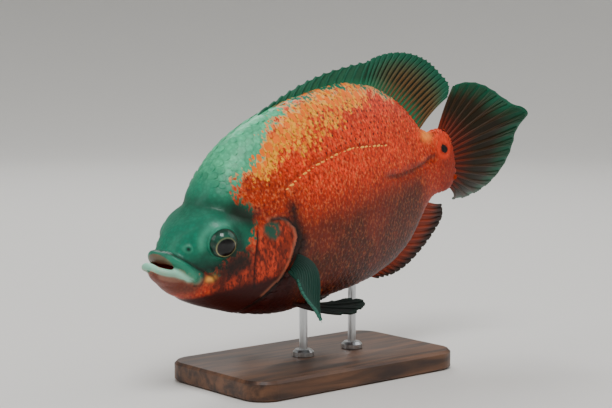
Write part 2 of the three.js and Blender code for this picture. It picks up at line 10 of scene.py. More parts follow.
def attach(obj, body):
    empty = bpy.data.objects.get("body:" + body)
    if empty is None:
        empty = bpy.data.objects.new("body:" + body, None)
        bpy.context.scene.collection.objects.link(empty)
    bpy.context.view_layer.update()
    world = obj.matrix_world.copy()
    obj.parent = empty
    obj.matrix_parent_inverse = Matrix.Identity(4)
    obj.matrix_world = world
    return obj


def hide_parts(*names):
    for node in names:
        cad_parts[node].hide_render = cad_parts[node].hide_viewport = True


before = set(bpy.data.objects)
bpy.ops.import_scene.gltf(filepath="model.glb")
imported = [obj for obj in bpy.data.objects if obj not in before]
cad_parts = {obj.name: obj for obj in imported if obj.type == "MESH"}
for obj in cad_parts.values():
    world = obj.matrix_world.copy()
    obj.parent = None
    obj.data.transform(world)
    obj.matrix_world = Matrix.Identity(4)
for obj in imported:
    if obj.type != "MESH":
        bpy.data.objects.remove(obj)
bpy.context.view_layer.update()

# Viewpoint
# The camera stands to the front left of the fish and a little above it, at the distance and angle
# of the photograph, with the fish filling the same part of the picture.
VIEW_FROM = Vector((-0.6145, -0.7238, 0.2040))
VIEW_TO = Vector((-0.0072, 0.0, 0.1047))
camera = bpy.data.objects.new("camera", bpy.data.cameras.new("camera"))
bpy.context.scene.collection.objects.link(camera)
camera.data.lens = 92.7
camera.data.sensor_width = 36
camera.location = VIEW_FROM
camera.rotation_euler = (VIEW_TO - VIEW_FROM).to_track_quat("-Z", "Y").to_euler()
bpy.context.scene.camera = camera

# Skin
# The fish's hide, one closed surface from lips to tail base, cast in resin over the carved body. It is
# modelled straight, in millimetres, with s from snout to tail, y to the side (left is negative) and z
# up, and then its rear is bent to the left and the whole is pitched nose down.
NOSE_DOWN = math.radians(11.5)
PIVOT_S, FISH_X, FISH_Z = 120, -6, 104
BEND_START, BEND_LENGTH, BEND_ANGLE = 148, 169, math.radians(32)
NOSE_S, NOSE_Z, NOSE_CLOSING = 7, -4.5, 13
TAIL_S, TAIL_CLOSING = 243, 16
# Mounds of the gill cover, the orbit and the brow: lift, s, z, length and height.
MOUNDS = ((1.9, 78, -13, 18, 21), (5.7, 36, 5.5, 13, 12), (4.6, 34, 14.5, 11, 6.5))
COAT, BARE_COAT = 0.45, 0.15  # how far the skin lies inside the body under scales and without them


def along(points):
    """A smooth curve through points, read at any station."""
    x, y = np.array(points, float).T
    last = len(x) - 1
    before = np.maximum(np.arange(last + 1) - 1, 0)
    after = np.minimum(np.arange(last + 1) + 1, last)
    slope = (y[after] - y[before]) / (x[after] - x[before])

    def read(s):
        s = np.asarray(s, float)
        k = np.clip(np.searchsorted(x, s, side="right") - 1, 0, last - 1)
        width = x[k + 1] - x[k]
        t = np.clip((s - x[k]) / width, 0, 1)
        ease = t * t * (3 - 2 * t)
        turn = slope[k] * t * (1 - t) ** 2 - slope[k + 1] * t * t * (1 - t)
        return y[k] + (y[k + 1] - y[k]) * ease + width * turn

    return read


top_line = along([
    [5, 4], [10, 5.5], [14, 8], [18, 11.2], [22, 14.4], [30, 19.8], [36.5, 25.8], [43, 33.6], [49, 40.5],
    [63, 51], [77, 57.3], [93, 62], [113, 65.5], [130, 67], [147, 67.5], [163, 66], [180, 60.5], [191, 54],
    [201, 45.5], [209, 36], [215, 26.5], [221, 21.5], [228, 21], [236, 22], [246, 22]])
bottom_line = along([
    [5, -16], [10, -22], [19.5, -29.5], [33, -37.8], [50, -46], [71, -53.5], [87, -56.5], [121, -57.5],
    [140, -58], [155, -57.5], [166, -56], [179, -52.5], [193, -45.5], [204, -35.5], [212, -27], [220, -21.5],
    [228, -21], [236, -22], [246, -22]])
half_width = along([
    [5, 9.5], [10, 12.5], [20, 15.8], [30, 18.9], [42, 22], [56, 24.6], [72, 26], [88, 26.6], [104, 26.8],
    [122, 26], [142, 23.8], [162, 20.4], [182, 15.8], [200, 11], [214, 7.8], [226, 5.9], [238, 3.8],
    [246, 2.6]])
widest = along([[5, -4], [20, -5], [40, -6], [70, -6], [110, -2], [150, 2], [190, 3], [220, 1], [246, 0]])


def bump(x, centre, width):
    """1 at a centre, falling off smoothly to either side."""
    return np.exp(-(((x - centre) / width) ** 2))


def rounded(share):
    """The height of a quarter circle at a share of its width."""
    return np.sqrt(1 - (1 - np.clip(share, 0, 1)) ** 2)


def near_nose(s):
    return rounded((s - NOSE_S) / NOSE_CLOSING)


def body_surface(s, turn):
    """A point of the body at a station and a turn round it, with the mounds of gill covers and eyes."""
    shut = near_nose(s) * rounded((TAIL_S - s) / TAIL_CLOSING)
    middle = NOSE_Z + (widest(s) - NOSE_Z) * near_nose(s)
    up, across = np.sin(turn), np.cos(turn)
    reach = np.where(up > 0, top_line(s) - middle, middle - bottom_line(s))
    z = middle + reach * up * shut
    y = np.abs(across) ** np.where(up > 0, 0.92, 0.86) * half_width(s) * shut
    mounds = sum(lift * bump(s, at_s, long) * bump(z, at_z, tall) for lift, at_s, at_z, long, tall in MOUNDS)
    y = y + mounds * np.minimum(1, np.abs(across) * 2)
    return np.stack([s + 0 * y, np.sign(across) * y, z], -1)


def pose(p):
    """From the straight fish, in mm, to its place on the stand, in metres."""
    s, y, z = np.moveaxis(np.asarray(p, float), -1, 0)
    over = np.maximum(s - BEND_START, 0)
    x = np.minimum(s, BEND_START)
    side = np.zeros_like(x)
    steps = 24
    for i in range(steps):
        angle = BEND_ANGLE * ((i + 0.5) / steps * over / BEND_LENGTH) ** 2
        x = x + np.cos(angle) * over / steps
        side = side - np.sin(angle) * over / steps
    turn = BEND_ANGLE * (over / BEND_LENGTH) ** 2
    x, side = x + np.sin(turn) * y - PIVOT_S, side + np.cos(turn) * y
    return np.stack([
        FISH_X + x * math.cos(NOSE_DOWN) - z * math.sin(NOSE_DOWN), side,
        FISH_Z + x * math.sin(NOSE_DOWN) + z * math.cos(NOSE_DOWN)], -1) / 1000


def new_piece(name, points, faces=(), edges=()):
    mesh = bpy.data.meshes.new(name)
    mesh.from_pydata(np.asarray(points, float).tolist(), list(edges), [tuple(f) for f in faces])
    mesh.update()
    piece = bpy.data.objects.new(name, mesh)
    bpy.context.scene.collection.objects.link(piece)
    return piece


def spots_of(piece):
    spots = np.empty(len(piece.data.vertices) * 3)
    piece.data.vertices.foreach_get("co", spots)
    return spots.reshape(-1, 3)


def move_to(piece, spots):
    piece.data.vertices.foreach_set("co", np.asarray(spots, float).ravel())
    piece.data.update()


def settle(piece):
    """Turns what the modifiers make into a plain mesh."""
    graph = bpy.context.evaluated_depsgraph_get()
    mesh = bpy.data.meshes.new_from_object(piece.evaluated_get(graph))
    piece.modifiers.clear()
    piece.data = mesh
    return piece


def write(piece, name, values, kind="FLOAT"):
    values = np.asarray(values, float)
    attribute = piece.data.attributes.get(name) or piece.data.attributes.new(name, kind, "POINT")
    attribute.data.foreach_set("vector" if kind == "FLOAT_VECTOR" else "value", values.ravel())


def read(piece, name, wide=1):
    attribute = piece.data.attributes[name]
    values = np.empty(len(attribute.data) * wide)
    attribute.data.foreach_get("vector" if wide > 1 else "value", values)
    return values.reshape(-1, wide) if wide > 1 else values


def band_faces(bands, rows, round_steps):
    """Faces between each ring of points and the next; the last band may run on to the first ring."""
    return [(i * round_steps + j, i * round_steps + (j + 1) % round_steps,
             (i + 1) % rows * round_steps + (j + 1) % round_steps, (i + 1) % rows * round_steps + j)
            for i in range(bands) for j in range(round_steps)]


def tube_faces(rows, round_steps):
    """Faces of a form made of rings of points, with a pole after the last ring at each end."""
    faces = band_faces(rows - 1, rows, round_steps)
    first, last = rows * round_steps, rows * round_steps + 1
    for j in range(round_steps):
        after = (j + 1) % round_steps
        faces.append((after, j, first))
        faces.append(((rows - 1) * round_steps + j, (rows - 1) * round_steps + after, last))
    return faces


def round_form(name, rows, round_steps, place):
    """A closed form from pole to pole; place(t, turn) gives its surface."""
    t = (np.arange(rows) + 0.5) / rows
    turn = np.arange(round_steps) / round_steps * 2 * math.pi
    grid_t, grid_turn = np.meshgrid(t, turn, indexing="ij")
    points = place(grid_t, grid_turn).reshape(-1, 3)
    ends = place(np.array([0.0, 1.0]), np.array([0.0, 0.0]))
    piece = new_piece(name, np.concatenate([points, ends]), tube_faces(rows, round_steps))
    outward(piece)
    return piece


def outward(piece):
    """Faces turned outwards, by the sign of the volume that they close."""
    mesh = piece.data
    mesh.calc_loop_triangles()
    corners = np.empty(len(mesh.loop_triangles) * 3, int)
    mesh.loop_triangles.foreach_get("vertices", corners)
    a, b, c = spots_of(piece)[corners.reshape(-1, 3)].transpose(1, 0, 2)
    if np.einsum("ij,ij->i", a, np.cross(b, c)).sum() < 0:
        mesh.flip_normals()


def body_place(t, turn):
    s = NOSE_S + (TAIL_S - NOSE_S) * t ** 1.35
    return body_surface(np.clip(s, NOSE_S + 1e-4, TAIL_S - 1e-4), turn)


def on_side(s, z, side):
    """A point of the body's side at a station and height, and the way the skin faces there."""
    low, high = -math.pi / 2, math.pi / 2
    for _ in range(30):
        turn = (low + high) / 2
        if body_surface(s, turn)[2] < z:
            low = turn
        else:
            high = turn
    e = 0.01
    facing = np.cross(body_surface(s, low + e) - body_surface(s, low - e),
                      body_surface(s + e, low) - body_surface(s - e, low))
    facing = facing / np.linalg.norm(facing) * (1 if facing[1] > 0 else -1)
    mirror = np.array([1, side, 1])
    return body_surface(s, low) * mirror, facing * mirror


class Path:
    """A smooth line through points in space, read by share of its points or of its length."""

    def __init__(self, points):
        self.points = np.array(points, float)
        fine = self.at(np.linspace(0, 1, 401))
        steps = np.linalg.norm(np.diff(fine, axis=0), axis=1)
        self.fine, self.length = fine, np.concatenate([[0], np.cumsum(steps)])

    def at(self, t):
        p = self.points
        p = np.concatenate([[2 * p[0] - p[1]], p, [2 * p[-1] - p[-2]]])
        place = np.clip(np.asarray(t, float), 0, 1) * (len(self.points) - 1)
        k = np.minimum(place.astype(int), len(self.points) - 2)
        w = (place - k)[..., None]
        a, b, c, d = p[k], p[k + 1], p[k + 2], p[k + 3]
        gap = [np.maximum(np.linalg.norm(v, axis=-1, keepdims=True) ** 0.5, 1e-4)
               for v in (b - a, c - b, d - c)]
        out = ((b - a) / gap[0] - (c - a) / (gap[0] + gap[1]) + (c - b) / gap[1]) * gap[1]
        into = ((c - b) / gap[1] - (d - b) / (gap[1] + gap[2]) + (d - c) / gap[2]) * gap[1]
        return b + out * w + (3 * (c - b) - 2 * out - into) * w ** 2 + (2 * (b - c) + out + into) * w ** 3

    def by_length(self, share):
        place = np.clip(share, 0, 1) * self.length[-1]
        return np.stack([np.interp(place, self.length, self.fine[:, i]) for i in range(3)], -1)


def lip_form(name, path, high, thick, rows=90, round_steps=28):
    """A flattened roll from one corner of the mouth to the other."""
    whole = Path(list(path) + [[s, -y, z] for s, y, z in path[-2::-1]])

    def place(t, turn):
        inner = np.clip(t, 0.001, 0.999)
        tangent = whole.by_length(inner + 0.001) - whole.by_length(inner - 0.001)
        tangent /= np.linalg.norm(tangent, axis=-1, keepdims=True)
        out = np.cross([0, 0, 1], tangent)
        out /= np.linalg.norm(out, axis=-1, keepdims=True)
        over = np.cross(tangent, out)
        girth = (np.sin(math.pi * np.clip(t, 0, 1)) ** 0.25)[..., None]
        return (whole.by_length(t) + out * (np.cos(turn)[..., None] * thick * girth)
                + over * (np.sin(turn)[..., None] * high * girth))

    return round_form(name, rows, round_steps, place)


def ring_form(name, point, axis, radius, tube, rows=48, round_steps=14):
    """A ring round an axis through a point."""
    axis = np.asarray(axis) / np.linalg.norm(axis)
    side = np.cross(axis, [0, 0, 1])
    side /= np.linalg.norm(side)
    up = np.cross(side, axis)
    turn, roll = np.meshgrid(np.arange(rows) / rows * 2 * math.pi,
                             np.arange(round_steps) / round_steps * 2 * math.pi, indexing="ij")
    out = np.cos(turn)[..., None] * side + np.sin(turn)[..., None] * up
    points = point + out * (radius + tube * np.cos(roll)[..., None]) + axis * (tube * np.sin(roll)[..., None])
    piece = new_piece(name, points.reshape(-1, 3), band_faces(rows, rows, round_steps))
    outward(piece)
    return piece


UPPER_LIP = [[20.8, -16, -15.4], [17.6, -15.8, -10.2], [14.9, -14.6, -5.2], [12.6, -12.2, -2.4],
             [11, -8.9, -0.8], [10, -4.7, -0.3], [9.5, 0, -0.5]]
LOWER_LIP = [[16.9, -14.5, -14.2], [14.3, -14, -11.9], [10.8, -12.2, -8.8], [6.2, -9.6, -6.9],
             [2.7, -6.2, -4.9], [1.2, -3, -3.3], [0.8, 0, -2.8]]
MOUTH = {"s": 12.5, "z": -4, "reach": 12, "half_width": 11, "half_height": 5, "slope": math.radians(16)}
CHIN = {"s": 12.5, "z": -12.5, "reach": 12, "half_width": 11.5, "half_height": 6.5,
        "slope": math.radians(34)}
CHIN_BASE = {"s": 14.5, "z": -15.5, "reach": 14, "half_width": 10, "half_height": 7.3,
             "slope": math.radians(50)}
EYE_S, EYE_Z, EYE_RADIUS, EYE_SUNK = 36.3, 2.8, 9.1, 3.0
NOSTRIL_S, NOSTRIL_Z = 19.2, 3.4


def egg(form):
    """The surface of an egg that slopes down towards the rear."""

    def place(t, turn):
        x = -np.cos(t * math.pi) * form["reach"]
        y = np.sin(t * math.pi) * np.cos(turn) * form["half_width"]
        z = np.sin(t * math.pi) * np.sin(turn) * form["half_height"]
        slope = form["slope"]
        return np.stack([form["s"] + x * math.cos(slope) + z * math.sin(slope), y,
                         form["z"] - x * math.sin(slope) + z * math.cos(slope)], -1)

    return place


def rod_form(name, point, axis, radius, half_length):
    """A round rod through a point, along an axis."""
    axis = Vector(axis)
    bpy.ops.mesh.primitive_cylinder_add(
        radius=radius, depth=2 * half_length, vertices=24, location=point,
        rotation=axis.to_track_quat("Z", "Y").to_euler())
    piece = bpy.context.active_object
    piece.name = name
    piece.data.transform(piece.matrix_basis)
    piece.matrix_basis.identity()
    return piece


skin = round_form("skin", 230, 130, body_place)
chins = [round_form("chin_form", 40, 48, egg(CHIN)), round_form("chin_base_form", 40, 48, egg(CHIN_BASE))]
for chin in chins:
    with_chin = skin.modifiers.new(chin.name, "BOOLEAN")
    with_chin.operation, with_chin.solver, with_chin.object = "UNION", "EXACT", chin
cutters = [round_form("mouth_hollow", 24, 32, egg(MOUTH))]
additions = [lip_form("upper_lip_form", UPPER_LIP, 3.8, 3.1), lip_form("lower_lip_form", LOWER_LIP, 2.2, 2.4)]
for side in (-1, 1):
    point, facing = on_side(EYE_S, EYE_Z, side)
    additions.append(ring_form("orbit_form", point - facing * 0.6, facing, 8.7, 1.1))
    point, facing = on_side(NOSTRIL_S, NOSTRIL_Z, side)
    additions.append(ring_form("nostril_form", point + facing * 0.2, facing, 1.5, 0.6, 24, 10))
    cutters.append(rod_form("nostril_pit", point, facing, 0.95, 2.6))
for cutter in cutters:
    cut = skin.modifiers.new("cut", "BOOLEAN")
    cut.operation, cut.solver, cut.object = "DIFFERENCE", "EXACT", cutter
settle(skin)
for extra in additions:
    mesh = skin.data
    start = len(mesh.vertices)
    points = np.concatenate([spots_of(skin), spots_of(extra)])
    faces = [tuple(f.vertices) for f in mesh.polygons]
    faces += [tuple(v + start for v in f.vertices) for f in extra.data.polygons]
    merged = bpy.data.meshes.new("skin")
    merged.from_pydata(points.tolist(), [], faces)
    skin.data = merged
for spare in cutters + additions + chins:
    bpy.data.objects.remove(spare)
remesh = skin.modifiers.new("fuse", "REMESH")
remesh.mode, remesh.voxel_size, remesh.use_smooth_shade = "VOXEL", 0.8, True
relax = skin.modifiers.new("relax", "SMOOTH")
relax.factor, relax.iterations = 0.5, 5
settle(skin)


def path_distance(s, z, path):
    """Distance to a line of (s, z) points, which side of it (positive on its left) and share along it."""
    path = np.array(path, float)
    best = np.full(s.shape, 1e9)
    sign = np.ones(s.shape)
    share = np.zeros(s.shape)
    runs = np.linalg.norm(np.diff(path, axis=0), axis=1)
    total = np.concatenate([[0], np.cumsum(runs)])
    for k in range(len(path) - 1):
        a, b = path[k], path[k + 1]
        d = b - a
        t = np.clip(((s - a[0]) * d[0] + (z - a[1]) * d[1]) / (d @ d), 0, 1)
        ds, dz = s - a[0] - t * d[0], z - a[1] - t * d[1]
        gap = np.hypot(ds, dz)
        closer = gap < best
        best = np.where(closer, gap, best)
        sign = np.where(closer, np.sign(d[0] * dz - d[1] * ds), sign)
        share = np.where(closer, (total[k] + t * runs[k]) / total[-1], share)
    return best, sign, share


def fade(value, low, high):
    t = np.clip((value - low) / (high - low), 0, 1)
    return t * t * (3 - 2 * t)


def inside(s, z, outline, soft):
    """1 well inside a closed outline and 0 well outside it."""
    ring = list(outline) + [outline[0]]
    gap, _, _ = path_distance(s, z, ring)
    ring = np.array(ring, float)
    within = np.zeros(s.shape, bool)
    for (s0, z0), (s1, z1) in zip(ring[:-1], ring[1:]):
        if z0 != z1:
            crosses = (z0 > z) != (z1 > z)
            within ^= crosses & (s < (s1 - s0) * (z - z0) / (z1 - z0) + s0)
    return fade(np.where(within, gap, -gap), -soft, soft)


# The edge of the gill cover from its top corner to the throat, and the furrows of the head and flank.
GILL_EDGE = [[70.6, 7.2], [77, 6.4], [81.5, 4], [86, -1.7], [86.2, -7.5], [82.5, -14], [79.2, -20.5],
             [72.5, -29], [62, -36.5], [52, -42], [44, -49], [40, -60]]
CHEEK_SLIT = [[61, 3], [60.4, -2.3], [57.8, -10.2], [55.9, -18.9], [55.2, -29.3]]
MAXILLA_CREASE = [[10.6, 2.7], [16.9, -3.3], [23.9, -10.1], [30.6, -15.7], [32, -19]]
NAPE_FURROW = [[27, 22], [34, 25], [41, 22.4], [45.2, 19.4], [50.2, 16.4], [55.4, 13.4], [61.4, 11.2],
               [70, 10]]
PORES = [[85.6, 20.5], [94, 23.8], [102.6, 26.6], [113.3, 28.8], [128.3, 30.4], [141.6, 30.6], [159.5, 27.4],
         [176, 23.7]]
FLANK_FURROW = [[163, 7.6], [184, 2.5], [201, 1.8], [212, 3.3], [222, 6]]


def skin_relief(s, y, z):
    """How far the skin stands out of the plain body, in mm."""
    on_flank = fade(np.abs(y), 1, 6)
    gap, sign, share = path_distance(s, z, GILL_EDGE)
    low = np.where(share > 0.55, 0.6, 1.0) * fade(share, 0.0, 0.06)
    ahead = sign < 0
    edge = np.where(ahead, 1.3 * bump(gap, 0, 9), -0.7 * bump(gap, 0, 2.4))
    out = edge * low
    for path, swell, depth, width, opening, closing in (
            (CHEEK_SLIT, 0.35, 1.1, 0.75, 0.15, 0.12), (MAXILLA_CREASE, 0, 0.9, 1.0, 0.1, 0.2),
            (FLANK_FURROW, 0, 0.9, 2.4, 0.2, 0.1)):
        gap, _, share = path_distance(s, z, path)
        out -= depth * bump(gap, 0, width) * fade(share, 0, opening) * fade(1 - share, 0, closing)
        out += swell * bump(gap, 0, 5)
    gap, sign, share = path_distance(s, z, NAPE_FURROW)
    hump = np.where(sign > 0, 0.7 * bump(gap, 7, 7), 0)
    furrow = (hump - 1.1 * bump(gap, 0, 3.4)) * fade(share, 0, 0.1) * fade(1 - share, 0, 0.1)
    return out * on_flank + furrow * fade(np.abs(y), 3, 14)


spots = spots_of(skin)
facing = np.empty(len(spots) * 3)
skin.data.vertices.foreach_get("normal", facing)
facing = facing.reshape(-1, 3)
depth = (BARE_COAT + (COAT - BARE_COAT) * fade(spots[:, 0], 22, 46))[:, None]
spots = spots + facing * (skin_relief(*spots.T)[:, None] - depth)
move_to(skin, spots)
skin_tree = BVHTree.FromPolygons(spots.tolist(), [tuple(f.vertices) for f in skin.data.polygons])

TEAL_REGION = [[-20, -1], [8, -6.5], [14, -10], [24, -13.5], [34, -13], [42, -8], [50, -8.5], [56, -3.5],
               [59.5, 2.5], [60, 11.6], [57, 19], [53.6, 27.5], [57.5, 33], [65.6, 36.5], [73, 40],
               [79.5, 45], [86, 49.5], [93, 56], [105, 62], [125, 65.5], [146, 66], [165, 64], [184, 57],
               [196, 49], [203, 60], [150, 90], [-20, 90]]


def near_line(spots, line, width):
    """1 on a line in space, mirrored to the nearer side, fading out over a width in mm."""
    spots = spots.copy()
    spots[:, 1] = -np.abs(spots[:, 1])
    fine = Path(line).by_length(np.linspace(0, 1, 60))
    gap = np.full(len(spots), 1e9)
    near = (spots[:, 0] < 40) & (spots[:, 2] > -40)
    gap[near] = np.sqrt(((spots[near][:, None] - fine) ** 2).sum(-1)).min(1)
    return np.exp(-((gap / width) ** 4))


def paint(piece):
    """Writes how much of each of the fish's colours, and of its painted shade and painted highlights, lies at
    every point of a piece.
    """
    spots = spots_of(piece)
    s, y, z = spots.T
    wide = lambda path, width: bump(path_distance(s, z, path)[0], 0, width)
    ring = lambda at_s, at_z, radius, width: bump(np.hypot(s - at_s, z - at_z), radius, width)
    teal = inside(s, z, TEAL_REGION, 9)
    low = fade(-z, -22, 14) * fade(s, 40, 90) * (1 - 0.6 * fade(s, 200, 226))
    gold = np.maximum(wide([[74, 37], [88, 45], [99, 50], [112, 56], [126, 61], [145, 61], [165, 59]], 9),
                      0.75 * wide([[104, 40], [120, 46], [140, 52]], 8))
    mouth = np.sqrt(((s - MOUTH["s"]) / MOUTH["reach"]) ** 2 + (y / MOUTH["half_width"]) ** 2 + (
        (z - MOUTH["z"] + (s - MOUTH["s"]) * math.tan(MOUTH["slope"])) / MOUTH["half_height"]) ** 2)
    masks = {
        # How far the teal reaches, less half of the patterns that break its edge.
        "teal_edge": teal + fade(teal, 0.75, 0.97) - 1.475,
        "teal_near": fade(teal, 0.06, 0.3),
        "cream": (0.1 + 0.7 * fade(fade(z, 24, 44), 0.1, 0.9)) * fade(teal, 0.03, 0.2),
        "mint": wide([[62, 42], [78, 54], [100, 62]], 15),
        # Darker lower flank and belly: partly their own colour, partly painted shade under light from above.
        "low": low,
        # Painted glints: bright flecks, many on the upper flank and few low down, where light from above
        # falls.
        "glint": 0.55 - 0.43 * fade(low, 0.3, 1.0),
        "lively": 1 - 0.6 * fade(low, 0.2, 1.0),
        # The belly's dark is partly painted shade under the body.
        "belly": fade(-z, 30, 54),
        "gold": gold,
        "gilded": fade(gold, 0.05, 0.28),
        "speck": 0.9 * fade(z, 16, 34) * fade(s, 100, 130),
        "shoulder": 0.6 * wide([[66, 28], [78, 22], [84, 15]], 13),
        # Painted shade in the flank furrow and in the furrow between nape and head.
        "furrow": np.maximum(0.64 * wide(FLANK_FURROW, 1.6) * fade(s, 160, 178),
                             0.44 * wide(NAPE_FURROW, 4.5)),
        # Painted shadow along the upper edge of the lateral line's tubes.
        "line_shade": 0.55 * wide(np.add(PORES, [-0.4, 1.5]), 0.8),
        "cheek": inside(s, z, [[24, -13], [44, -16], [58, -8], [62, 6], [84, 6], [88, -8], [72, -32],
                               [52, -44], [30, -26]], 5),
        # Dark throat: partly its own colour, partly painted shade under the head.
        "throat": fade(-z, 20, 32) * fade(100 - s, 0, 30),
        "patch": inside(s, z, [[65, 1], [66, 4.5], [71, 6.5], [75, 4], [75.5, -1], [72, -5.5],
                               [68, -3]], 1.6),
        # Painted shade under the brow, under the eye and in the hollow behind the gill cover.
        "dusk": 0.9 * np.maximum(0.95 * wide([[52, 17], [58, 11]], 7), np.maximum(
            wide([[47, -11], [41, -15]], 7), wide([[88, 9], [88, -3], [90, -12], [86, -18]], 5))),
        "cover_rim": 0.45 * wide(np.add(GILL_EDGE[:9], [-1.2, 0.3]), 1.1),
        # Painted shade in the gap behind the gill cover's edge.
        "cover_gap": 0.95 * wide(np.add(GILL_EDGE[:10], [1.4, -0.6]), 1.5),
        # Painted shade in the cheek groove and in the crease above the upper lip.
        "slit": np.maximum(wide(CHEEK_SLIT, 0.8), 0.8 * wide(MAXILLA_CREASE, 1.0)),
        # Painted shade round and below the bulging eye.
        "eye_shade": np.maximum(
            0.85 * fade(16.5 - np.hypot(s - 38.5, z - 0.5), 0, 7) * fade(s - 0.7 * z, 34, 46),
            0.95 * inside(s, z, [[27, -6.5], [33, -8.5], [41, -8], [48, -4], [56, -5], [55, -13], [47, -18],
                                 [38, -16.5], [30, -14], [25, -10.5]], 4)),
        # Painted highlight on the upper front of the orbit's rim.
        "orbit_glow": (0.24 * ring(EYE_S, EYE_Z, 10.6, 1.7)
                       * fade(z - EYE_Z - 0.6 * (s - EYE_S), 2, 9)),
        # Painted shade on the face between the eye and the lips.
        "face_shade": 0.75 * inside(s, z, [[15, -4], [21, -3], [27, -1], [28, -7], [36, -9], [34, -15],
                                           [24, -12]], 6),
        # Painted shade in the pit of the nostril.
        "nostril": np.exp(-((np.hypot(s - NOSTRIL_S, z - NOSTRIL_Z) / 0.95) ** 4)),
        "nostril_ring": 0.4 * ring(NOSTRIL_S, NOSTRIL_Z, 1.9, 0.6),
        "chin": (fade(34 - s, 0, 16) * fade(-z, 3, 8) * (1 - fade(-z, 20, 30))
                 * (1 - 0.8 * near_line(spots, UPPER_LIP, 4.6))),
        "lower_lip": near_line(spots, np.add(LOWER_LIP, [-0.2, 0, 0.5]), 2.6),
        "under_lip": 0.42 * near_line(spots, np.add(LOWER_LIP[1:5], [1.5, 0, -4.3]), 2.2),
        "upper_lip": 0.8 * near_line(spots, UPPER_LIP, 4.5),
        # Painted highlight along the top of the upper lip's roll.
        "lip_ridge": 0.5 * near_line(spots, np.add(UPPER_LIP[:5], [-0.8, -0.8, 0.6]), 2.6),
        # Painted shade under the upper lip's roll and behind the end of the lip.
        "lip_fold": np.maximum(
            0.85 * near_line(spots, np.add(UPPER_LIP[1:4], [0.4, 0.4, -4.4]), 1.1),
            0.68 * wide([[25, -13], [25.4, -16.5], [23, -19.6], [19.5, -18.6]], 0.8)),
        "lip_end": 0.8 * near_line(spots, UPPER_LIP[:2], 3.0),
        "mouth": (s > 3) * (1 - 0.8 * near_line(spots, UPPER_LIP, 4.7)) * fade(1.12 - mouth, 0, 0.1),
        "spot": wide([[28, -16.6], [30.5, -17]], 1.8),
        # Painted highlight on the top of the tail base.
        "saddle": wide([[217.5, 19.5], [221, 19]], 3.6),
        "tail_base": 0.65 * fade(s, 212, 232) * fade(18 - z, 0, 12),
        "eye_spot": fade(3.8 - path_distance(s, z, [[231.6, 8.4], [233, 6.9]])[0], 0, 2.6),
        "eye_ring": 0.8 * ring(232, 7.7, 5.2, 1.6),
    }
    for name, values in masks.items():
        write(piece, name, values)
    write(piece, "fish", spots, "FLOAT_VECTOR")


def linear(code):
    """An sRGB hex colour as linear values."""
    parts = [int(code[i:i + 2], 16) / 255 for i in (1, 3, 5)]
    return tuple(c / 12.92 if c <= 0.04045 else ((c + 0.055) / 1.055) ** 2.4 for c in parts) + (1.0,)


def add_node(tree, kind, inputs=(), **settings):
    """A node with its settings; each input takes a value or another node's socket."""
    made = tree.nodes.new(kind)
    for name, value in settings.items():
        setattr(made, name, value)
    for key, value in dict(inputs).items():
        if isinstance(value, bpy.types.NodeSocket):
            tree.links.new(value, made.inputs[key])
        else:
            made.inputs[key].default_value = value
    return made


def finish(name, look):
    """A material with its shader's own values set."""
    material = bpy.data.materials.new(name)
    material.use_nodes = True
    tree = material.node_tree
    shader = tree.nodes["Principled BSDF"]
    for socket, value in look.items():
        shader.inputs[socket].default_value = value
    return material, tree, shader


def socket_of(tree, value):
    """The socket of a mask given by its name; anything else stays as it is."""
    if isinstance(value, str):
        return add_node(tree, "ShaderNodeAttribute", attribute_name=value).outputs["Fac"]
    return value


def glaze(tree, under, over, *shares):
    """One colour laid over another, by the product of masks, patterns and plain strengths."""
    laid = socket_of(tree, shares[0])
    for share in shares[1:]:
        laid = add_node(tree, "ShaderNodeMath", {0: laid, 1: socket_of(tree, share)},
                        operation="MULTIPLY").outputs[0]
    under, over = [linear(paint) if isinstance(paint, str) else paint for paint in (under, over)]
    return add_node(tree, "ShaderNodeMix", {"Factor": laid, 6: under, 7: over}, data_type="RGBA").outputs[2]


def spread(tree, pattern, low, high, least=0.0, most=1.0, mask=0.0, depth=1.0):
    """How much shows where a pattern, times a depth and on top of a mask, goes from low to high."""
    level = add_node(tree, "ShaderNodeMath", {
        0: socket_of(tree, pattern), 1: depth, 2: socket_of(tree, mask)}, operation="MULTIPLY_ADD").outputs[0]
    return add_node(tree, "ShaderNodeMapRange", {
        "Value": level, "From Min": low, "From Max": high, "To Min": least, "To Max": most},
        interpolation_type="SMOOTHSTEP").outputs["Result"]


# Painted hide: resin with oil glazes and a satin varnish, so colours sit deep and highlights stay soft.
hide, tree, shader = finish("glazed_resin_hide", {
    "Roughness": 0.42, "Specular IOR Level": 0.26, "Coat Weight": 0.06, "Coat Roughness": 0.25,
    "Subsurface Weight": 0.06, "Subsurface Radius": (0.004, 0.0015, 0.0008), "Subsurface Scale": 1.0})
place = add_node(tree, "ShaderNodeAttribute", attribute_name="fish").outputs["Vector"]
local = add_node(tree, "ShaderNodeAttribute", attribute_name="local").outputs["Vector"]


def grain(size, detail=2.0, squash=(1, 1, 1), at=0.0):
    """Noise with features of about the given size in mm, along s, y and z."""
    spots = add_node(tree, "ShaderNodeMapping", {
        "Vector": place, "Location": (at, at, at), "Scale": tuple(k / size for k in squash)}).outputs[0]
    return add_node(tree, "ShaderNodeTexNoise", {"Vector": spots, "Scale": 1.0, "Detail": detail}
                    ).outputs["Fac"]


def cells(size, squash=(1, 1, 1), at=0.0, random=0.8):
    """Distance to the nearest of scattered spots a given size apart in mm."""
    spots = add_node(tree, "ShaderNodeMapping", {
        "Vector": place, "Location": (at, at, at), "Scale": tuple(k / size for k in squash)}).outputs[0]
    return add_node(tree, "ShaderNodeTexVoronoi", {"Vector": spots, "Scale": 1.0, "Randomness": random}
                    ).outputs["Distance"]


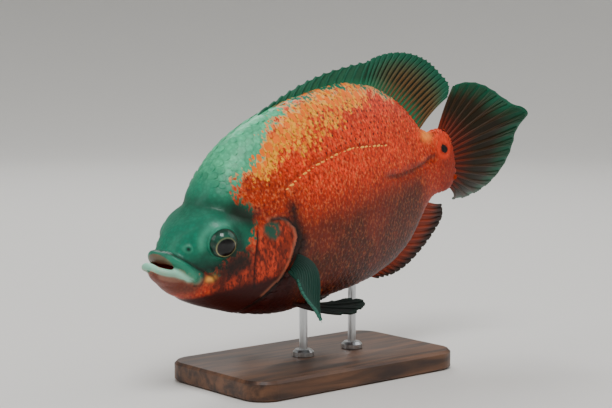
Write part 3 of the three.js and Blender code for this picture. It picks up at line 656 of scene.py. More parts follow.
def mark(centre, wide, tall):
    """How near a point of a scale is to a mark on it, 0 at its middle and 1 at its edge."""
    moved = add_node(tree, "ShaderNodeMapping", {
        "Vector": local, "Location": (-centre / wide, 0, 0), "Scale": (1 / wide, 1 / tall, 0)}).outputs[0]
    return add_node(tree, "ShaderNodeVectorMath", {0: moved}, operation="LENGTH").outputs["Value"]


def glazes(tree, colour, layers):
    """Coats of paint, the first one undermost; each is a colour and what it is laid on by."""
    for over, *shares in layers:
        colour = glaze(tree, colour, over, *shares)
    return colour


def summed(tree, start, *parts):
    """A mask with patterns added to it, each by its own depth."""
    for pattern, depth in parts:
        start = add_node(tree, "ShaderNodeMath", {0: pattern, 1: depth, 2: start},
                         operation="MULTIPLY_ADD").outputs[0]
    return start


# The red flank, from its ground colours, partly darkened low down by painted shade, through streaks, painted
# glints, gold flecks and scale marks to fine pepper.
tone, pepper = socket_of(tree, "tone"), grain(1.3, 2.0, (1, 0.7, 0.7), 9.0)
gilt = summed(tree, socket_of(tree, "gold"), (tone, 0.7))
colour = glazes(tree, "#f43a06", [
    # Darker lower flank and belly: partly own colour, partly painted shade under light from above.
    ("#481a02", "low"),
    ("#1e0602", "belly"),
    ("#a82a0c", spread(tree, grain(24), 0.45, 0.75, 0, 0.3)),
    ("#7e2c0e", "shoulder"),
    ("#6a1404", spread(tree, grain(1.7, 3.0, (1, 0.4, 0.42)), 0.38, 0.66, 0, 0.42)),
    # Painted glints on the upper flank.
    ("#ff6a18", "glint", spread(tree, grain(2.3, 3.0, (1, 0.4, 0.5), 7.0), 0.56, 0.74)),
    ("#ff9a0a", "gilded", spread(tree, cells(2.6, (1, 0.5, 0.5)), -0.121, 0.303, mask="gold", depth=-1.515)),
    ("#ffae1c", "gilded", spread(tree, mark(0.68, 0.24, 0.42), 0.47, 0.72, mask=gilt, depth=-0.45),
     spread(tree, grain(1.4), 0.35, 0.6)),
    ("#2a0c04", "speck", spread(tree, mark(0.86, 0.12, 0.16), 0.6, 1.2, 1, 0), spread(tree, tone, 0.35, 0.4)),
    ("#561406", "rim", 0.5),
    ("#ff9458", "lively", spread(tree, pepper, 0.52, 0.7, 0, 0.4)),
    ("#3c0c04", "lively", spread(tree, pepper, 0.3, 0.48, 0.6, 0)),
    # Painted shadow above the lateral line.
    ("#4a1004", "line_shade")])

# The mottled cheek and the dark throat, whose dark is partly painted shade under the head, their edges broken
# up.
cheek = glazes(tree, "#8a2a10", [
    ("#da4420", spread(tree, grain(6, 4.0, (1, 0.5, 0.4), 2.0), 0.4, 0.58)),
    ("#521608", spread(tree, grain(1.6, 3.0, (1, 0.6, 0.5), 4.0), 0.42, 0.62, 0, 0.85)),
    ("#460e04", spread(tree, cells(2.0, (1, 0.5, 0.8), 1.0), 0.3, 0.6, 0, 0.2))])
colour = glazes(tree, colour, [
    (cheek, spread(tree, grain(7, 3.0), 0.68, 0.92, mask="cheek", depth=0.6)),
    ("#340400", spread(tree, grain(12, 3.0), 0.4, 1.0, mask="throat", depth=0.4))])

# The teal head and back, with a cream fringe where they give way to the red, painted shade on the face below
# the eye and a painted highlight on the orbit's rim.
teal = glazes(tree, "#006e54", [
    ("#56c892", "mint"),
    ("#148c6a", spread(tree, grain(9, 3.0), 0.4, 0.75, 0, 0.4)),
    ("#0c4634", spread(tree, cells(2.4, at=6.0), 0.3, 0.6, 0, 0.22)),
    ("#0c4634", "rim", 0.3),
    # Painted shade on the face below the eye.
    ("#04281e", "face_shade"),
    # Painted highlight on the orbit's rim.
    ("#7cdcba", "orbit_glow")])
edge = summed(tree, socket_of(tree, "teal_edge"),
              (grain(1.8, 4.0, (1, 0.5, 0.6), 5.0), 1.7), (grain(9), 1.0), (tone, 0.25))
teal_share = add_node(tree, "ShaderNodeMath", {
    0: spread(tree, edge, 0.36, 0.62), 1: socket_of(tree, "teal_near")}, operation="MULTIPLY").outputs[0]
colour = glazes(tree, colour, [
    ("#ffb46a", "cream", spread(tree, edge, 0.2, 0.44), spread(tree, edge, 0.44, 0.62, 1, 0)),
    (teal, teal_share),
    ("#ff7404", "gilded", spread(tree, cells(3.4, (1, 0.5, 0.6)), -0.1, 0.14, mask="gold", depth=-2.0))])

# Marks of the gill cover, eye, nostril, lips and tail; painted shade in the folds, creases, the gap behind
# the gill cover, the nostril's pit and under the brow, eye and lip; painted highlights on the lip and the
# tail base; and the mouth.
colour = glazes(tree, colour, [
    ("#24503f", "patch", spread(tree, grain(3.0, 3.0), 0.3, 0.5, 0.3, 1)),
    ("#7c1c06", "tail_base"),
    # Painted shade under the brow and eye and behind the gill cover.
    ("#0a0c08", "dusk"),
    # Painted shade below the eye.
    ("#08120d", "eye_shade", spread(tree, grain(4.0), 0.25, 0.6, 0.6, 0.9)),
    # Painted highlight on the top of the tail base.
    ("#ff8c2c", "saddle"),
    ("#3f9a7a", "nostril_ring"),
    # Painted shade in the pit of the nostril.
    ("#08120e", "nostril"),
    # Painted shade in the furrows.
    ("#1c0e05", "furrow"),
    ("#5a3428", "chin", summed(tree, 0.9, (teal_share, -0.9))),
    ("#c87a5a", "cover_rim"),
    # Painted shade in the gap behind the gill cover.
    ("#0c0402", "cover_gap"),
    ("#7fc0a4", "lip_end"),
    ("#b88a74", "under_lip"),
    ("#1a6a56", "upper_lip"),
    # Painted highlight on the upper lip's roll.
    ("#2f9a78", "lip_ridge"),
    ("#9adcc0", "lower_lip"),
    # Painted shade under the upper lip.
    ("#24120c", "lip_fold"),
    ("#ffb04a", "spot"),
    ("#ee3a10", "eye_ring"),
    ("#070302", spread(tree, grain(2.4), 0.85, 1.15, mask="eye_spot", depth=0.9)),
    # Painted shade in the cheek groove and the crease above the lip.
    ("#1c0603", "slit"),
    ("#b0201a", "mouth")])
shade = add_node(tree, "ShaderNodeHueSaturation", {
    "Color": colour, "Value": spread(tree, tone, 0, 1, 0.92, 1.08)}).outputs[0]
tree.links.new(shade, shader.inputs["Base Color"])
pebble = add_node(tree, "ShaderNodeBump", {
    "Strength": 0.5, "Distance": 0.0002, "Height": cells(1.9, random=0.9)})
tree.links.new(pebble.outputs["Normal"], shader.inputs["Normal"])


def to_stand(piece, body="root"):
    """Bends, pitches and scales a finished piece to its place and lets it ride on the stand's body."""
    move_to(piece, pose(spots_of(piece)))
    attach(piece, body)


def smooth_shaded(piece):
    piece.data.polygons.foreach_set("use_smooth", np.ones(len(piece.data.polygons), bool))


paint(skin)
write(skin, "tone", np.full(len(skin.data.vertices), 0.5))
smooth_shaded(skin)
skin.data.materials.clear()
skin.data.materials.append(hide)
to_stand(skin)
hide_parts("head", "upper_lip", "lower_jaw", "trunk", "tail_stalk", "gill_cover_left",
            "gill_cover_right")

# Scales
# Thin overlapping plates of horn in rows along the body, each rooted in the skin and lying back towards
# the tail. They are cast as solid plates, and lie flatter and smaller on the nape and the tail base.
ROW_PITCH, STEP = 3.9, 4.4
SCALE_LENGTH, SCALE_WIDTH, SCALE_THICK = 6.0, 5.5, 0.26
LAID_BACK = math.radians(3.6)
ROW_LINE = along([[30, 12], [60, 11], [84, 10], [110, 13], [150, 16], [190, 12], [245, 5]])
SCALED = [[47, -70], [51, -45], [62, -39], [74, -30.5], [81, -22], [84.5, -15], [88.5, -8], [88.5, -1],
          [84, 6], [79, 9], [70, 12], [61, 19], [52, 27], [44, 33], [40, 60], [120, 90], [232, 90],
          [238, 20], [240, 0], [238, -20], [232, -70]]


def plate_form(name, round_steps=12):
    """One scale, with x from root to free edge, y across and z up, about one unit long and wide."""
    turn = np.arange(round_steps) / round_steps * 2 * math.pi
    x = 0.5 + 0.5 * np.cos(turn)
    y = 0.5 * np.sin(turn) * (0.8 + 0.35 * x)
    outer = np.stack([x, y, np.zeros(round_steps) + 0.35], -1)
    inner = np.stack([0.5 + 0.62 * (x - 0.5), y * 0.62, np.zeros(round_steps) + 0.95], -1)
    under = np.stack([x, y, np.zeros(round_steps) - 0.35], -1)
    points = np.concatenate([outer, inner, under, [[0.5, 0, 1.05]]])
    n = round_steps
    faces = []
    for i in range(n):
        j = (i + 1) % n
        faces += [(i, j, n + j, n + i), (n + i, n + j, 3 * n), (2 * n + i, 2 * n + j, j, i)]
    faces.append(tuple(2 * n + i for i in reversed(range(n))))
    piece = new_piece(name, points, faces)
    outward(piece)
    write(piece, "local", points, "FLOAT_VECTOR")
    write(piece, "rim", fade(points[:, 0], 0.72, 1.0) * (np.arange(len(points)) < n))
    return piece


def group_tree(name, sockets):
    """An empty Geometry Nodes tree with named inputs, and the identifier of each."""
    tree = bpy.data.node_groups.new(name, "GeometryNodeTree")
    tree.interface.new_socket("Geometry", in_out="OUTPUT", socket_type="NodeSocketGeometry")
    tree.interface.new_socket("Geometry", in_out="INPUT", socket_type="NodeSocketGeometry")
    for label, kind in sockets.items():
        tree.interface.new_socket(label, in_out="INPUT", socket_type="NodeSocket" + kind)
    return tree, tree.nodes.new("NodeGroupInput"), tree.nodes.new("NodeGroupOutput")


def run_tree(piece, tree, values):
    """Runs a tree on a piece with its inputs set, and keeps the plain mesh that it makes."""
    modifier = piece.modifiers.new(tree.name, "NODES")
    modifier.node_group = tree
    for socket in tree.interface.items_tree:
        if socket.in_out == "INPUT" and socket.name in values:
            modifier[socket.identifier] = values[socket.name]
    settle(piece)


plates, entry, out = group_tree("rows_of_plates", {
    "Plate": "Object", "Length": "Float", "Width": "Float", "Thickness": "Float", "Laid back": "Float",
    "Ruffle": "Float", "Seed": "Int", "Finish": "Material"})
facing, aft, size, relief = [
    add_node(plates, "GeometryNodeInputNamedAttribute", {"Name": name}, data_type=kind).outputs["Attribute"]
    for name, kind in (("facing", "FLOAT_VECTOR"), ("aft", "FLOAT_VECTOR"), ("size", "FLOAT"),
                       ("relief", "FLOAT"))]
way = add_node(plates, "FunctionNodeAxesToRotation", {"Primary Axis": facing, "Secondary Axis": aft},
               primary_axis="Z", secondary_axis="X")
shape = add_node(plates, "ShaderNodeCombineXYZ", {
    "X": entry.outputs["Length"], "Y": entry.outputs["Width"], "Z": entry.outputs["Thickness"]})
scaled = add_node(plates, "ShaderNodeVectorMath", {0: shape.outputs[0], "Scale": size}, operation="SCALE")
plate = add_node(plates, "GeometryNodeObjectInfo", {"Object": entry.outputs["Plate"]})
flattened = add_node(plates, "ShaderNodeCombineXYZ", {"X": 1.0, "Y": 1.0, "Z": relief})
scaled = add_node(plates, "ShaderNodeVectorMath", {0: scaled.outputs[0], 1: flattened.outputs[0]},
                  operation="MULTIPLY")
laid = add_node(plates, "GeometryNodeInstanceOnPoints", {
    "Points": entry.outputs["Geometry"], "Instance": plate.outputs["Geometry"], "Rotation": way.outputs[0],
    "Scale": scaled.outputs[0]})
other_way = add_node(plates, "ShaderNodeMath", {0: entry.outputs["Ruffle"], 1: -1.0}, operation="MULTIPLY")
sway = add_node(plates, "FunctionNodeRandomValue", {
    2: other_way.outputs[0], 3: entry.outputs["Ruffle"], "Seed": entry.outputs["Seed"]}, data_type="FLOAT")
lowered = add_node(plates, "ShaderNodeMath", {0: entry.outputs["Laid back"], 1: relief}, operation="MULTIPLY")
lean = add_node(plates, "ShaderNodeMath", {0: lowered.outputs[0], 1: -1.0}, operation="MULTIPLY")
tilt = add_node(plates, "ShaderNodeCombineXYZ", {
    "X": sway.outputs[1], "Y": lean.outputs[0], "Z": sway.outputs[1]})
tilted = add_node(plates, "GeometryNodeRotateInstances", {
    "Instances": laid.outputs[0], "Rotation": tilt.outputs[0], "Local Space": True})
solid = add_node(plates, "GeometryNodeRealizeInstances", {"Geometry": tilted.outputs[0]})
coated = add_node(plates, "GeometryNodeSetMaterial", {
    "Geometry": solid.outputs[0], "Material": entry.outputs["Finish"]})
plates.links.new(coated.outputs[0], out.inputs[0])


def half_girth(s):
    """Heights down one side of the body at a station, and the length of skin from the lowest of them."""
    turn = np.linspace(-math.pi / 2, math.pi / 2, 160)
    points = body_surface(np.full(160, float(s)), turn)
    run = np.concatenate([[0], np.cumsum(np.hypot(np.diff(points[:, 1]), np.diff(points[:, 2])))])
    return points[:, 2], run


def rows_of_scales():
    """Where the scales stand on the left side: station, height, size and place on the unrolled skin."""
    smaller = lambda s: np.interp(s, [40, 60, 150, 232], [0.72, 1.0, 1.0, 0.66])
    places = []
    s, count = 238.0, 0
    while s > 42:
        z, run = half_girth(s)
        start = np.interp(ROW_LINE(s), z, run)
        pitch = ROW_PITCH * smaller(s)
        for row in range(-40, 41):
            if (row + count) % 2:
                continue
            reach = start + row * pitch
            if 1.2 < reach < run[-1] - 1.2:
                places.append([s, np.interp(reach, run, z), smaller(s), reach - start])
        s -= STEP / 2 * smaller(s)
        count += 1
    places = np.array(places)
    return places[inside(places[:, 0], places[:, 1], SCALED, 0.01) > 0.5]


def rooted(piece, places, side, spread=0.0, seed=5):
    """Roots for plates on the skin at the given stations and heights, with the way each one faces."""
    draw = np.random.default_rng(seed)
    points, facings, afts, kept = [], [], [], []
    for index, (s, z, size, girth) in enumerate(places):
        s = s + draw.normal(0, spread)
        z = z + draw.normal(0, spread)
        hit, normal, _, _ = skin_tree.ray_cast(Vector((s, side * 60, z)), Vector((0, -side, 0)))
        if hit is None:
            continue
        aft = np.cross(np.cross(normal, [1, 0, 0]), normal)
        points.append(hit)
        facings.append(normal)
        afts.append(aft / np.linalg.norm(aft))
        kept.append(index)
    roots = new_piece(piece, points)
    write(roots, "facing", facings, "FLOAT_VECTOR")
    write(roots, "aft", afts, "FLOAT_VECTOR")
    write(roots, "size", places[kept, 2])
    write(roots, "tone", draw.uniform(0, 1, len(kept)))
    s, z = places[kept, 0], places[kept, 1]
    write(roots, "relief", 1 - 0.55 * inside(s, z, TEAL_REGION, 14))
    unrolled = np.stack([0.25 * (1 + side) + 0.02 + places[kept, 0] / 560, 0.5 + places[kept, 3] / 260,
                         np.zeros(len(kept))], -1)
    write(roots, "unrolled", unrolled, "FLOAT_VECTOR")
    return roots


def lay_map(piece):
    """The bake map: each plate is a small patch at its root's place on the unrolled skin."""
    spot = read(piece, "unrolled", 3)[:, :2] + (read(piece, "local", 3)[:, :2] - [0.5, 0]) * 0.003
    layer = piece.data.uv_layers.new(name="OFBake")
    corners = np.empty(len(piece.data.loops), int)
    piece.data.loops.foreach_get("vertex_index", corners)
    layer.data.foreach_set("uv", spot[corners].ravel())


scale_places = rows_of_scales()
scale_plate = plate_form("scale_plate")
for side, name in ((-1, "scales_left"), (1, "scales_right")):
    scales = rooted(name, scale_places, side, 0.12, 5 + side)
    run_tree(scales, plates, {
        "Plate": scale_plate, "Length": SCALE_LENGTH, "Width": SCALE_WIDTH, "Thickness": SCALE_THICK,
        "Laid back": LAID_BACK, "Ruffle": 0.02, "Seed": 3, "Finish": hide})
    paint(scales)
    lay_map(scales)
    to_stand(scales)
bpy.data.objects.remove(scale_plate)

# Lateral line
# A row of pale raised tubes of horn along the upper flank, each on one scale and open at its rear end
# in life. Here they are cast with the scales and let into them.
TUBE_STEP = 3.9


def tube_form(name):
    """One pore tube, with x from its front to its open end, about one unit long and wide."""
    turn = np.arange(8) / 8 * 2 * math.pi
    rings = [[0.0, 0.5], [0.3, 0.9], [0.75, 1.0], [0.95, 0.6]]
    points = np.concatenate([np.stack([np.full(8, x), 0.5 * r * np.cos(turn), 0.5 * r * np.sin(turn)], -1)
                             for x, r in rings] + [[[-0.05, 0, 0]], [[1.0, 0, 0]]])
    piece = new_piece(name, points, tube_faces(4, 8))
    outward(piece)
    write(piece, "local", points, "FLOAT_VECTOR")
    return piece


# Pale horn, polished by handling, so the tubes catch the light against the flank.
horn, tree, shader = finish("pale_horn", {"Base Color": linear("#ffae3e"), "Roughness": 0.35})
pore_tube = tube_form("pore_tube")
places = []
line = np.array(PORES, float)
run = np.concatenate([[0], np.cumsum(np.linalg.norm(np.diff(line, axis=0), axis=1))])
for reach in np.arange(0, run[-1], TUBE_STEP):
    s, z = np.interp(reach, run, line[:, 0]), np.interp(reach, run, line[:, 1])
    places.append([s, z, 0.86 + 0.22 * math.sin(reach * 2.1), z])
for side, name in ((-1, "lateral_line_left"), (1, "lateral_line_right")):
    tubes = rooted(name, np.array(places), side, 0.0)
    run_tree(tubes, plates, {
        "Plate": pore_tube, "Length": 3.5, "Width": 1.5, "Thickness": 1.5, "Laid back": math.radians(5),
        "Ruffle": 0.05, "Seed": 7, "Finish": horn})
    lay_map(tubes)
    to_stand(tubes)
bpy.data.objects.remove(pore_tube)

# Eyes
# Glass balls painted from behind: a black pupil in a thin pale ring, and a dark teal iris. Each is set in
# the raised ring of the orbit and bulges well out of the head.
PUPIL, IRIS_RING = math.radians(37), math.radians(41)
for side, name in ((-1, "eye_left"), (1, "eye_right")):
    point, facing = on_side(EYE_S, EYE_Z, side)
    facing = facing + np.array([-0.05, 0, -0.16])
    facing /= np.linalg.norm(facing)
    centre = point - on_side(EYE_S, EYE_Z, side)[1] * EYE_SUNK
    across = np.cross(facing, [0, 0, 1])
    across /= np.linalg.norm(across)
    up = np.cross(across, facing)

    def ball(t, turn):
        angle = (t * math.pi)[..., None]
        out = np.cos(turn)[..., None] * across + np.sin(turn)[..., None] * up
        return centre + (EYE_RADIUS - 0.15) * (np.cos(angle) * facing + np.sin(angle) * out)

    eye = round_form(name, 96, 96, ball)
    ray = (spots_of(eye) - centre) / (EYE_RADIUS - 0.15)
    write(eye, "from_axis", np.arccos(np.clip(ray @ facing, -1, 1)))
    write(eye, "upward", ray @ up)
    write(eye, "fish", spots_of(eye), "FLOAT_VECTOR")
    smooth_shaded(eye)
    if side < 0:
        # Clear glass over paint: a hard bright point of light above a soft, deep colour.
        glass, tree, shader = finish("painted_eye_glass", {
            "Roughness": 0.3, "Specular IOR Level": 0.15, "Coat Weight": 0.5, "Coat Roughness": 0.03})
        place = add_node(tree, "ShaderNodeAttribute", attribute_name="fish").outputs["Vector"]
        iris = glazes(tree, "#06251d", [
            ("#144636", spread(tree, grain(2.2, 4.0), 0.35, 0.7)),
            ("#256a54", spread(tree, "upward", 0.2, 0.8, 0, 0.4)),
            ("#123528", spread(tree, "from_axis", 0.95, 1.2)),
            ("#a89c6a", spread(tree, "from_axis", PUPIL - 0.02, PUPIL + 0.02),
             spread(tree, "from_axis", IRIS_RING, IRIS_RING + 0.05, 1, 0),
             spread(tree, "upward", -0.5, 0.6, 0.9, 0.25)),
            ("#050505", spread(tree, "from_axis", PUPIL - 0.03, PUPIL + 0.01, 1, 0))])
        tree.links.new(iris, shader.inputs["Base Color"])
    eye.data.materials.append(glass)
    to_stand(eye)
    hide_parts(name)

# Fins
# Thin membranes of translucent resin stretched over tapering rays: stiff spines at the front of the back
# fin, and jointed soft rays that split towards the edge in the others.
MEMBRANE = 0.42
rays_tree, entry, out = group_tree("fin_rays", {
    "Girth": "Float", "Sides": "Int", "Finish": "Material"})
strands = add_node(rays_tree, "GeometryNodeMeshToCurve", {"Mesh": entry.outputs["Geometry"]})
taper = add_node(rays_tree, "GeometryNodeInputNamedAttribute", {"Name": "girth"}, data_type="FLOAT")
girth = add_node(rays_tree, "ShaderNodeMath", {
    0: taper.outputs["Attribute"], 1: entry.outputs["Girth"]}, operation="MULTIPLY")
tapered = add_node(rays_tree, "GeometryNodeSetCurveRadius", {
    "Curve": strands.outputs[0], "Radius": girth.outputs[0]})
ring = add_node(rays_tree, "GeometryNodeCurvePrimitiveCircle", {
    "Resolution": entry.outputs["Sides"], "Radius": 1.0})
swept = add_node(rays_tree, "GeometryNodeCurveToMesh", {
    "Curve": tapered.outputs[0], "Profile Curve": ring.outputs[0], "Fill Caps": True})
solid = add_node(rays_tree, "GeometryNodeRealizeInstances", {"Geometry": swept.outputs[0]})
coated = add_node(rays_tree, "GeometryNodeSetMaterial", {
    "Geometry": solid.outputs[0], "Material": entry.outputs["Finish"]})
rays_tree.links.new(coated.outputs[0], out.inputs[0])


def fin_frame(at, ray, v):
    """A fin's point at a ray and share of its length, and the way its left face looks there."""
    e = 0.02
    lengthwise = at(ray, v + e) - at(ray, v - e)
    across = at(ray + e, v) - at(ray - e, v)
    facing = np.cross(lengthwise, across)
    return at(ray, v), facing / np.maximum(np.linalg.norm(facing, axis=-1, keepdims=True), 1e-9)


def fin_sheet(name, at, rays, scallop, root_thick, rows=22, per_gap=6):
    """The membrane: a thin closed sheet, pinched in between the rays and nicked at its edge."""
    ray = np.linspace(0, rays - 1, (rays - 1) * per_gap + 1)
    share = np.linspace(0, 1, rows + 1)
    grid_ray, grid_share = np.meshgrid(ray, share, indexing="ij")
    between = np.abs(np.sin(grid_ray * math.pi))
    nick = np.vectorize(scallop)(grid_ray)
    v = grid_share * (1 - nick * between * grid_share ** 3)
    middle, facing = fin_frame(at, grid_ray, v)
    thick = MEMBRANE * (1 - 0.45 * grid_share) + root_thick * np.maximum(0, 1 - grid_share * 3.2) ** 2
    thick *= 1 - 0.35 * between
    front = middle + facing * thick[..., None] / 2
    back = middle - facing * thick[..., None] / 2
    points = np.concatenate([front.reshape(-1, 3), back.reshape(-1, 3)])
    wide, count = rows + 1, len(ray) * (rows + 1)
    index = np.arange(count).reshape(len(ray), wide)
    a, b = index[:-1, :-1].ravel(), index[1:, :-1].ravel()
    c, d = index[1:, 1:].ravel(), index[:-1, 1:].ravel()
    faces = list(zip(a, b, c, d)) + list(zip(d + count, c + count, b + count, a + count))
    border = np.concatenate([index[:, 0], index[-1, 1:], index[-2::-1, -1], index[0, -2:0:-1]])
    for p, q in zip(border, np.roll(border, -1)):
        faces.append((q, p, p + count, q + count))
    piece = new_piece(name, points, faces)
    outward(piece)
    write(piece, "outward", np.tile(v.ravel(), 2))
    write(piece, "rearward", np.tile(grid_ray.ravel() / (rays - 1), 2))
    write(piece, "fish", points, "FLOAT_VECTOR")
    smooth_shaded(piece)
    return piece


def fin_rays(name, at, rays, thick, branched, tip_thick=0.16, steps=22):
    """Centre lines of the rays; a soft ray splits in two and then in four on its way to the edge."""
    points, edges, girths, shares, outs = [], [], [], [], []

    def strand(ray, drift, start, end, girth_from, girth_to):
        v = np.linspace(start, end, max(4, int(steps * (end - start))))
        rays_at = ray + drift(v)
        spots = at(rays_at, v)
        first = len(points)
        points.extend(spots)
        edges.extend((first + i, first + i + 1) for i in range(len(v) - 1))
        girths.extend(np.linspace(girth_from, girth_to, len(v)))
        shares.extend(np.full(len(v), ray / (rays - 1)))
        outs.extend(v)

    edge = 0.965
    for ray in range(rays):
        base = thick(ray)
        if not branched(ray):
            strand(ray, lambda v: 0 * v, 0.02, edge, base, tip_thick)
            continue
        fork, second = 0.42 + 0.05 * math.sin(ray * 2.4), 0.72 + 0.04 * math.sin(ray * 1.7)
        strand(ray, lambda v: 0 * v, 0.02, fork, base, base * 0.62)
        for way in (-1, 1):
            lean = lambda v, way=way: way * 0.17 * fade(v, fork, 1.0)
            if not 0 < ray < rays - 1:
                strand(ray, lambda v: 0 * v, fork, edge, base * 0.62, tip_thick)
                break
            strand(ray, lean, fork, second, base * 0.5, base * 0.36)
            for twig in (-1, 1):
                strand(ray, lambda v, way=way, twig=twig: way * 0.17 * fade(v, fork, 1.0)
                       + twig * 0.1 * fade(v, second, 1.05), second, edge, base * 0.34, tip_thick * 0.8)
    piece = new_piece(name, points, edges=edges)
    write(piece, "girth", girths)
    write(piece, "outward", outs)
    write(piece, "rearward", shares)
    return piece


def between(root, tip, v, bow):
    """A point on the way from root to tip, bowed out the most half way along."""
    v = v[..., None]
    return root + (tip - root) * v + np.asarray(bow) * 4 * v * (1 - v)


def vectors(x, y, z):
    return np.stack(np.broadcast_arrays(x, y, z), -1).astype(float)


SPINES, SOFT_RAYS = 13, 19
spine_tips = Path([[102, 0, 64.5], [118, 0, 68.8], [135, 0, 72.8], [150, 0, 75], [168, 0, 75.4],
                   [186, 0, 74.8]])
soft_tips = Path([[191, 0, 75.5], [203, 0, 76], [215, 0, 74], [226, 0, 69], [235, 0, 62.5], [242, 0, 54.5],
                  [246, 0, 47], [243, 0, 40.5]])


def dorsal_at(ray, v):
    spiny = ray < SPINES - 0.5
    share = np.where(spiny, ray / (SPINES - 1), (ray - SPINES) / (SOFT_RAYS - 1))
    s = np.where(spiny, 94 + (176 - 94) * share, 180 + (216 - 180) * share)
    # The membrane between the last spine and the first soft ray runs from one to the other.
    join = np.clip(ray - (SPINES - 1), 0, 1)
    step = (ray > SPINES - 1) & (ray < SPINES)
    s = np.where(step, 176 + 4 * join, s)
    tip = np.where(spiny[..., None], spine_tips.at(share), soft_tips.at(share))
    tip = np.where(step[..., None], spine_tips.at(1.0) * (1 - join)[..., None]
                   + soft_tips.at(0.0) * join[..., None], tip)
    tip[..., 1] = 1.6 * np.sin(ray * 0.55) * v * v
    root = vectors(s - 3, 0, top_line(s) - 5)
    return between(root, tip, v, [-0.8, 0, 1.2])


anal_tips = Path([[168, 0.4, -60.5], [180, 2, -62.2], [195, 4.5, -61], [211, 8, -56], [226, 11.5, -48.5],
                  [236, 14, -40.5], [236, 13, -33]])


def anal_at(ray, v):
    share = ray / 16
    s = 159 + (213 - 159) * share
    root = vectors(s - 3, 0, bottom_line(s) + 5)
    bow = vectors(0 * share, -1.5 * share, -1.2 + 0 * share)
    return between(root, anal_tips.at(share), v, bow)


def caudal_at(ray, v):
    degrees = 65 + (-54 - 65) * ray / 16
    angle = np.radians(degrees)
    low = np.clip(degrees / -54, 0, 1)
    reach = 63 - 13 * np.abs(degrees / 65) ** 3 - 7 * low - 4 * low ** 6 + 8.5 * bump(degrees, 15, 7)
    curl = 30 * np.clip((14 - degrees) / 60, 0, 1) ** 0.9 - 9 * bump(degrees, 20, 10)
    root = vectors(234 - 4 * (1 - np.cos(angle)), 0, 17 * degrees / 65)
    tip = vectors(229 + reach * np.cos(angle), 0, reach * np.sin(angle))
    p = between(root, tip, v, vectors(0, 0, 1.6 * np.sin(angle)))
    p[..., 1] = curl * v * v
    return p


PECTORAL_TIPS = {
    -1: Path([[-3.7, 11, -9.5], [-5.3, 15, -15.8], [-4.4, 18, -21.2], [-2.8, 21, -26.7], [-1.3, 23, -33.6]]),
    1: Path([[20, 28, -34], [26, 27, -29], [31, 24, -22], [32, 20, -14], [30, 17, -8], [25, 14, -2]])}
PECTORAL_BOW = {-1: np.array([7.5, -8, 4]), 1: np.array([2.5, 2.5, 1])}
pelvic_roots = Path([[86, 12, -50], [89, 10, -51.5], [92, 8, -52.5], [95, 7, -53]])
pelvic_tips = Path([[116, 22, -65], [129, 21, -68], [140, 17, -65.5], [134, 12, -62.5], [121, 9, -60.5]])


def pectoral_at(side):
    def at(ray, v):
        share = ray / 11
        root = vectors(80 + 2.5 * share, side * 20, -25 + 7.5 * share)
        offset = PECTORAL_TIPS[side].at(share)
        tip = vectors(80 + offset[..., 0], side * (25 + offset[..., 1]), -21.25 + offset[..., 2])
        share = np.clip(share, 0, 1)[..., None]
        bow = share ** 0.7 * PECTORAL_BOW[side]
        v = v[..., None]
        return root + (tip - root) * v + bow * 6.75 * v * (1 - v) ** 2
    return at


def pelvic_at(side):
    def at(ray, v):
        whole = ray / 5
        share = np.clip(whole, 0, 1)
        p = between(pelvic_roots.at(share), pelvic_tips.at(share), v, [0, 2, -1.5])
        past = (whole - share) * 4
        return vectors(p[..., 0] + past, side * (p[..., 1] - past), p[..., 2])
    return at


def fin_finish(name, root, middle, margin, rear, ray_root, ray_tip, fringe, turn):
    """Satin resin film and rays: a thin glow at the edges, and ribs that catch a dull light."""
    made = []
    for label, low, high in (("membrane", root, middle), ("rays", ray_root, ray_tip)):
        material, tree, shader = finish(name + "_" + label, {
            "Roughness": 0.5, "Specular IOR Level": 0.2, "Subsurface Weight": 0.1,
            "Subsurface Radius": (0.001, 0.0006, 0.0004)})
        layers = [(high, spread(tree, "outward", *turn))]
        if label == "membrane":
            if rear:
                layers.append(("#3a8a66", spread(tree, "rearward", 0.3, 0.46, 0.55, 0)))
            layers.append((margin, spread(tree, "outward", fringe, 0.97)))
        else:
            if rear:
                layers.append((rear, spread(tree, "rearward", 0.4, 0.7),
                               spread(tree, "outward", 0.5, 0.92, 0.9, 0)))
            layers.append((margin, spread(tree, "outward", fringe + 0.04, 1.0, 0, 0.8)))
        tree.links.new(glazes(tree, low, layers), shader.inputs["Base Color"])
        made.append(material)
    return made


# Paint of a fin: film at its root and outwards, margin, rear, rays at their root and tip, and where the
# margin starts and the root's colour turns.
PECTORAL_PAINT = ("#2a6452", "#54907e", "#4a8a78", None, "#0e2a22", "#16382e", 0.86, (0.14, 0.46))
# The pelvic fins' near-black paint is partly painted shade: they lie in the shade under the belly.
PELVIC_PAINT = ("#2a100a", "#0a0e0b", "#122820", None, "#2a100a", "#0e1512", 0.8, (0.14, 0.46))
soft = lambda ray: True
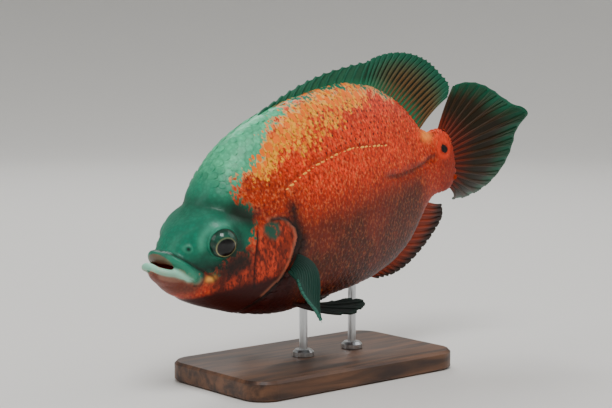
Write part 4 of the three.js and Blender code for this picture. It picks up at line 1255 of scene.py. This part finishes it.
# Each fin's name, surface, rays, nicks between rays, root thickness, ray thickness, split rays and paint.
FINS = [
    ("dorsal_fin", dorsal_at, 32, lambda r: 0.07 if r < SPINES else 0.03, 2.6,
     lambda r: 0.5 if r < SPINES else 0.36, lambda r: r >= SPINES,
     ("#1c7a52", "#1a2416", "#0c5a42", "#64401a", "#2c8260", "#1c5a42", 0.74, (0.14, 0.46))),
    ("anal_fin", anal_at, 17, lambda r: 0.06 if r < 3 else 0.03, 2.4, lambda r: 0.36, lambda r: r >= 3,
     ("#82280a", "#140a05", "#0f3a28", None, "#96300c", "#2a1408", 0.88, (0.4, 0.86))),
    ("caudal_fin", caudal_at, 17, lambda r: 0.01, 3.2, lambda r: 0.34, soft,
     ("#481206", "#221a0a", "#08553c", None, "#6a1e08", "#33210c", 0.62, (0.14, 0.5))),
    ("pectoral_fin_left", pectoral_at(-1), 12, lambda r: 0.0, 1.8, lambda r: 0.3, soft,
     PECTORAL_PAINT),
    ("pectoral_fin_right", pectoral_at(1), 12, lambda r: 0.0, 1.8, lambda r: 0.3, soft,
     PECTORAL_PAINT),
    ("pelvic_fin_left", pelvic_at(-1), 6, lambda r: 0.05, 1.8, lambda r: 0.5, soft,
     PELVIC_PAINT),
    ("pelvic_fin_right", pelvic_at(1), 6, lambda r: 0.05, 1.8, lambda r: 0.5, soft,
     PELVIC_PAINT),
]
for name, at, rays, scallop, root_thick, thick, branched, colours in FINS:
    film, bone = fin_finish(name, *colours)
    sheet = fin_sheet(name, at, rays, scallop, root_thick)
    sheet.data.materials.append(film)
    to_stand(sheet)
    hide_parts(name)
    lines = fin_rays(name + "_rays", at, rays, thick, branched)
    run_tree(lines, rays_tree, {"Girth": 1.0, "Sides": 6, "Finish": bone})
    smooth_shaded(lines)
    to_stand(lines)

# Stand
# A routed walnut block with two brushed steel rods, each pressed into a turned collar and let into the
# belly. Both keep the shapes of their solids and only get their finish here.
# Oiled walnut: planed along the grain, so dark streaks run the length of the block under a low sheen.
walnut, tree, shader = finish("oiled_walnut", {"Roughness": 0.42})
place = add_node(tree, "ShaderNodeTexCoord").outputs["Object"]
stretched = add_node(tree, "ShaderNodeMapping", {"Vector": place, "Scale": (18.0, 160.0, 160.0)}).outputs[0]
figure = add_node(tree, "ShaderNodeTexNoise", {
    "Vector": stretched, "Scale": 1.0, "Detail": 6.0, "Distortion": 0.6}).outputs["Fac"]
tree.links.new(glaze(tree, "#2c190f", "#6a452c", spread(tree, figure, 0.3, 0.7)), shader.inputs["Base Color"])
# Brushed steel: brush lines too fine to show at this size, seen only as softly blurred reflections.
steel, tree, shader = finish("brushed_steel", {
    "Base Color": linear("#c4c6c8"), "Metallic": 1.0, "Roughness": 0.28})
for name, material in (("stand_base", walnut), ("stand_rod_front", steel), ("stand_rod_rear", steel)):
    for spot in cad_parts[name].material_slots:
        spot.material = material

# Floor and light
# A plain pale floor that curves up far behind into a wall, as one sheet of matt paper would, under four
# large soft lamps, so that every side of the fish can be seen.
SWEEP_RADIUS, SWEEP_CURVE, SWEEP_HEIGHT = 3.2, 1.4, 3.0
bend = np.linspace(0, math.pi / 2, 14)
profile = [(0.6, 0), (1.2, 0)] + [
    (SWEEP_RADIUS - SWEEP_CURVE + SWEEP_CURVE * math.sin(a), SWEEP_CURVE * (1 - math.cos(a))) for a in bend]
profile.append((SWEEP_RADIUS, SWEEP_HEIGHT))
SIDES = 96
turns = np.arange(SIDES) / SIDES * 2 * math.pi
points = [(r * math.cos(a), r * math.sin(a), z) for r, z in profile for a in turns] + [(0, 0, 0)]
faces = band_faces(len(profile) - 1, len(profile), SIDES)
faces += [((j + 1) % SIDES, j, len(points) - 1) for j in range(SIDES)]
floor = new_piece("floor", points, [face[::-1] for face in faces])
smooth_shaded(floor)
paper, tree, shader = finish("matt_paper", {"Base Color": linear("#dedcd8"), "Roughness": 0.9})
floor.data.materials.append(paper)
world = bpy.data.worlds.new("studio")
world.use_nodes = True
backdrop = world.node_tree.nodes["Background"]
backdrop.inputs["Color"].default_value = linear("#dfe2e4")
backdrop.inputs["Strength"].default_value = 0.45
bpy.context.scene.world = world
for name, spot, power, size in (
        ("key", (-0.6, -0.8, 1.7), 24, 0.7), ("fill", (1.3, -0.6, 1.2), 6, 1.2),
        ("back", (0.6, 1.2, 1.6), 20, 0.9), ("front", (-1.5, 0.5, 1.0), 6, 1.0)):
    lamp = bpy.data.lights.new(name, "AREA")
    lamp.energy, lamp.size = power, size
    holder = bpy.data.objects.new(name, lamp)
    bpy.context.scene.collection.objects.link(holder)
    holder.location = spot
    holder.rotation_euler = (Vector((0, 0, 0.1)) - Vector(spot)).to_track_quat("-Z", "Y").to_euler()
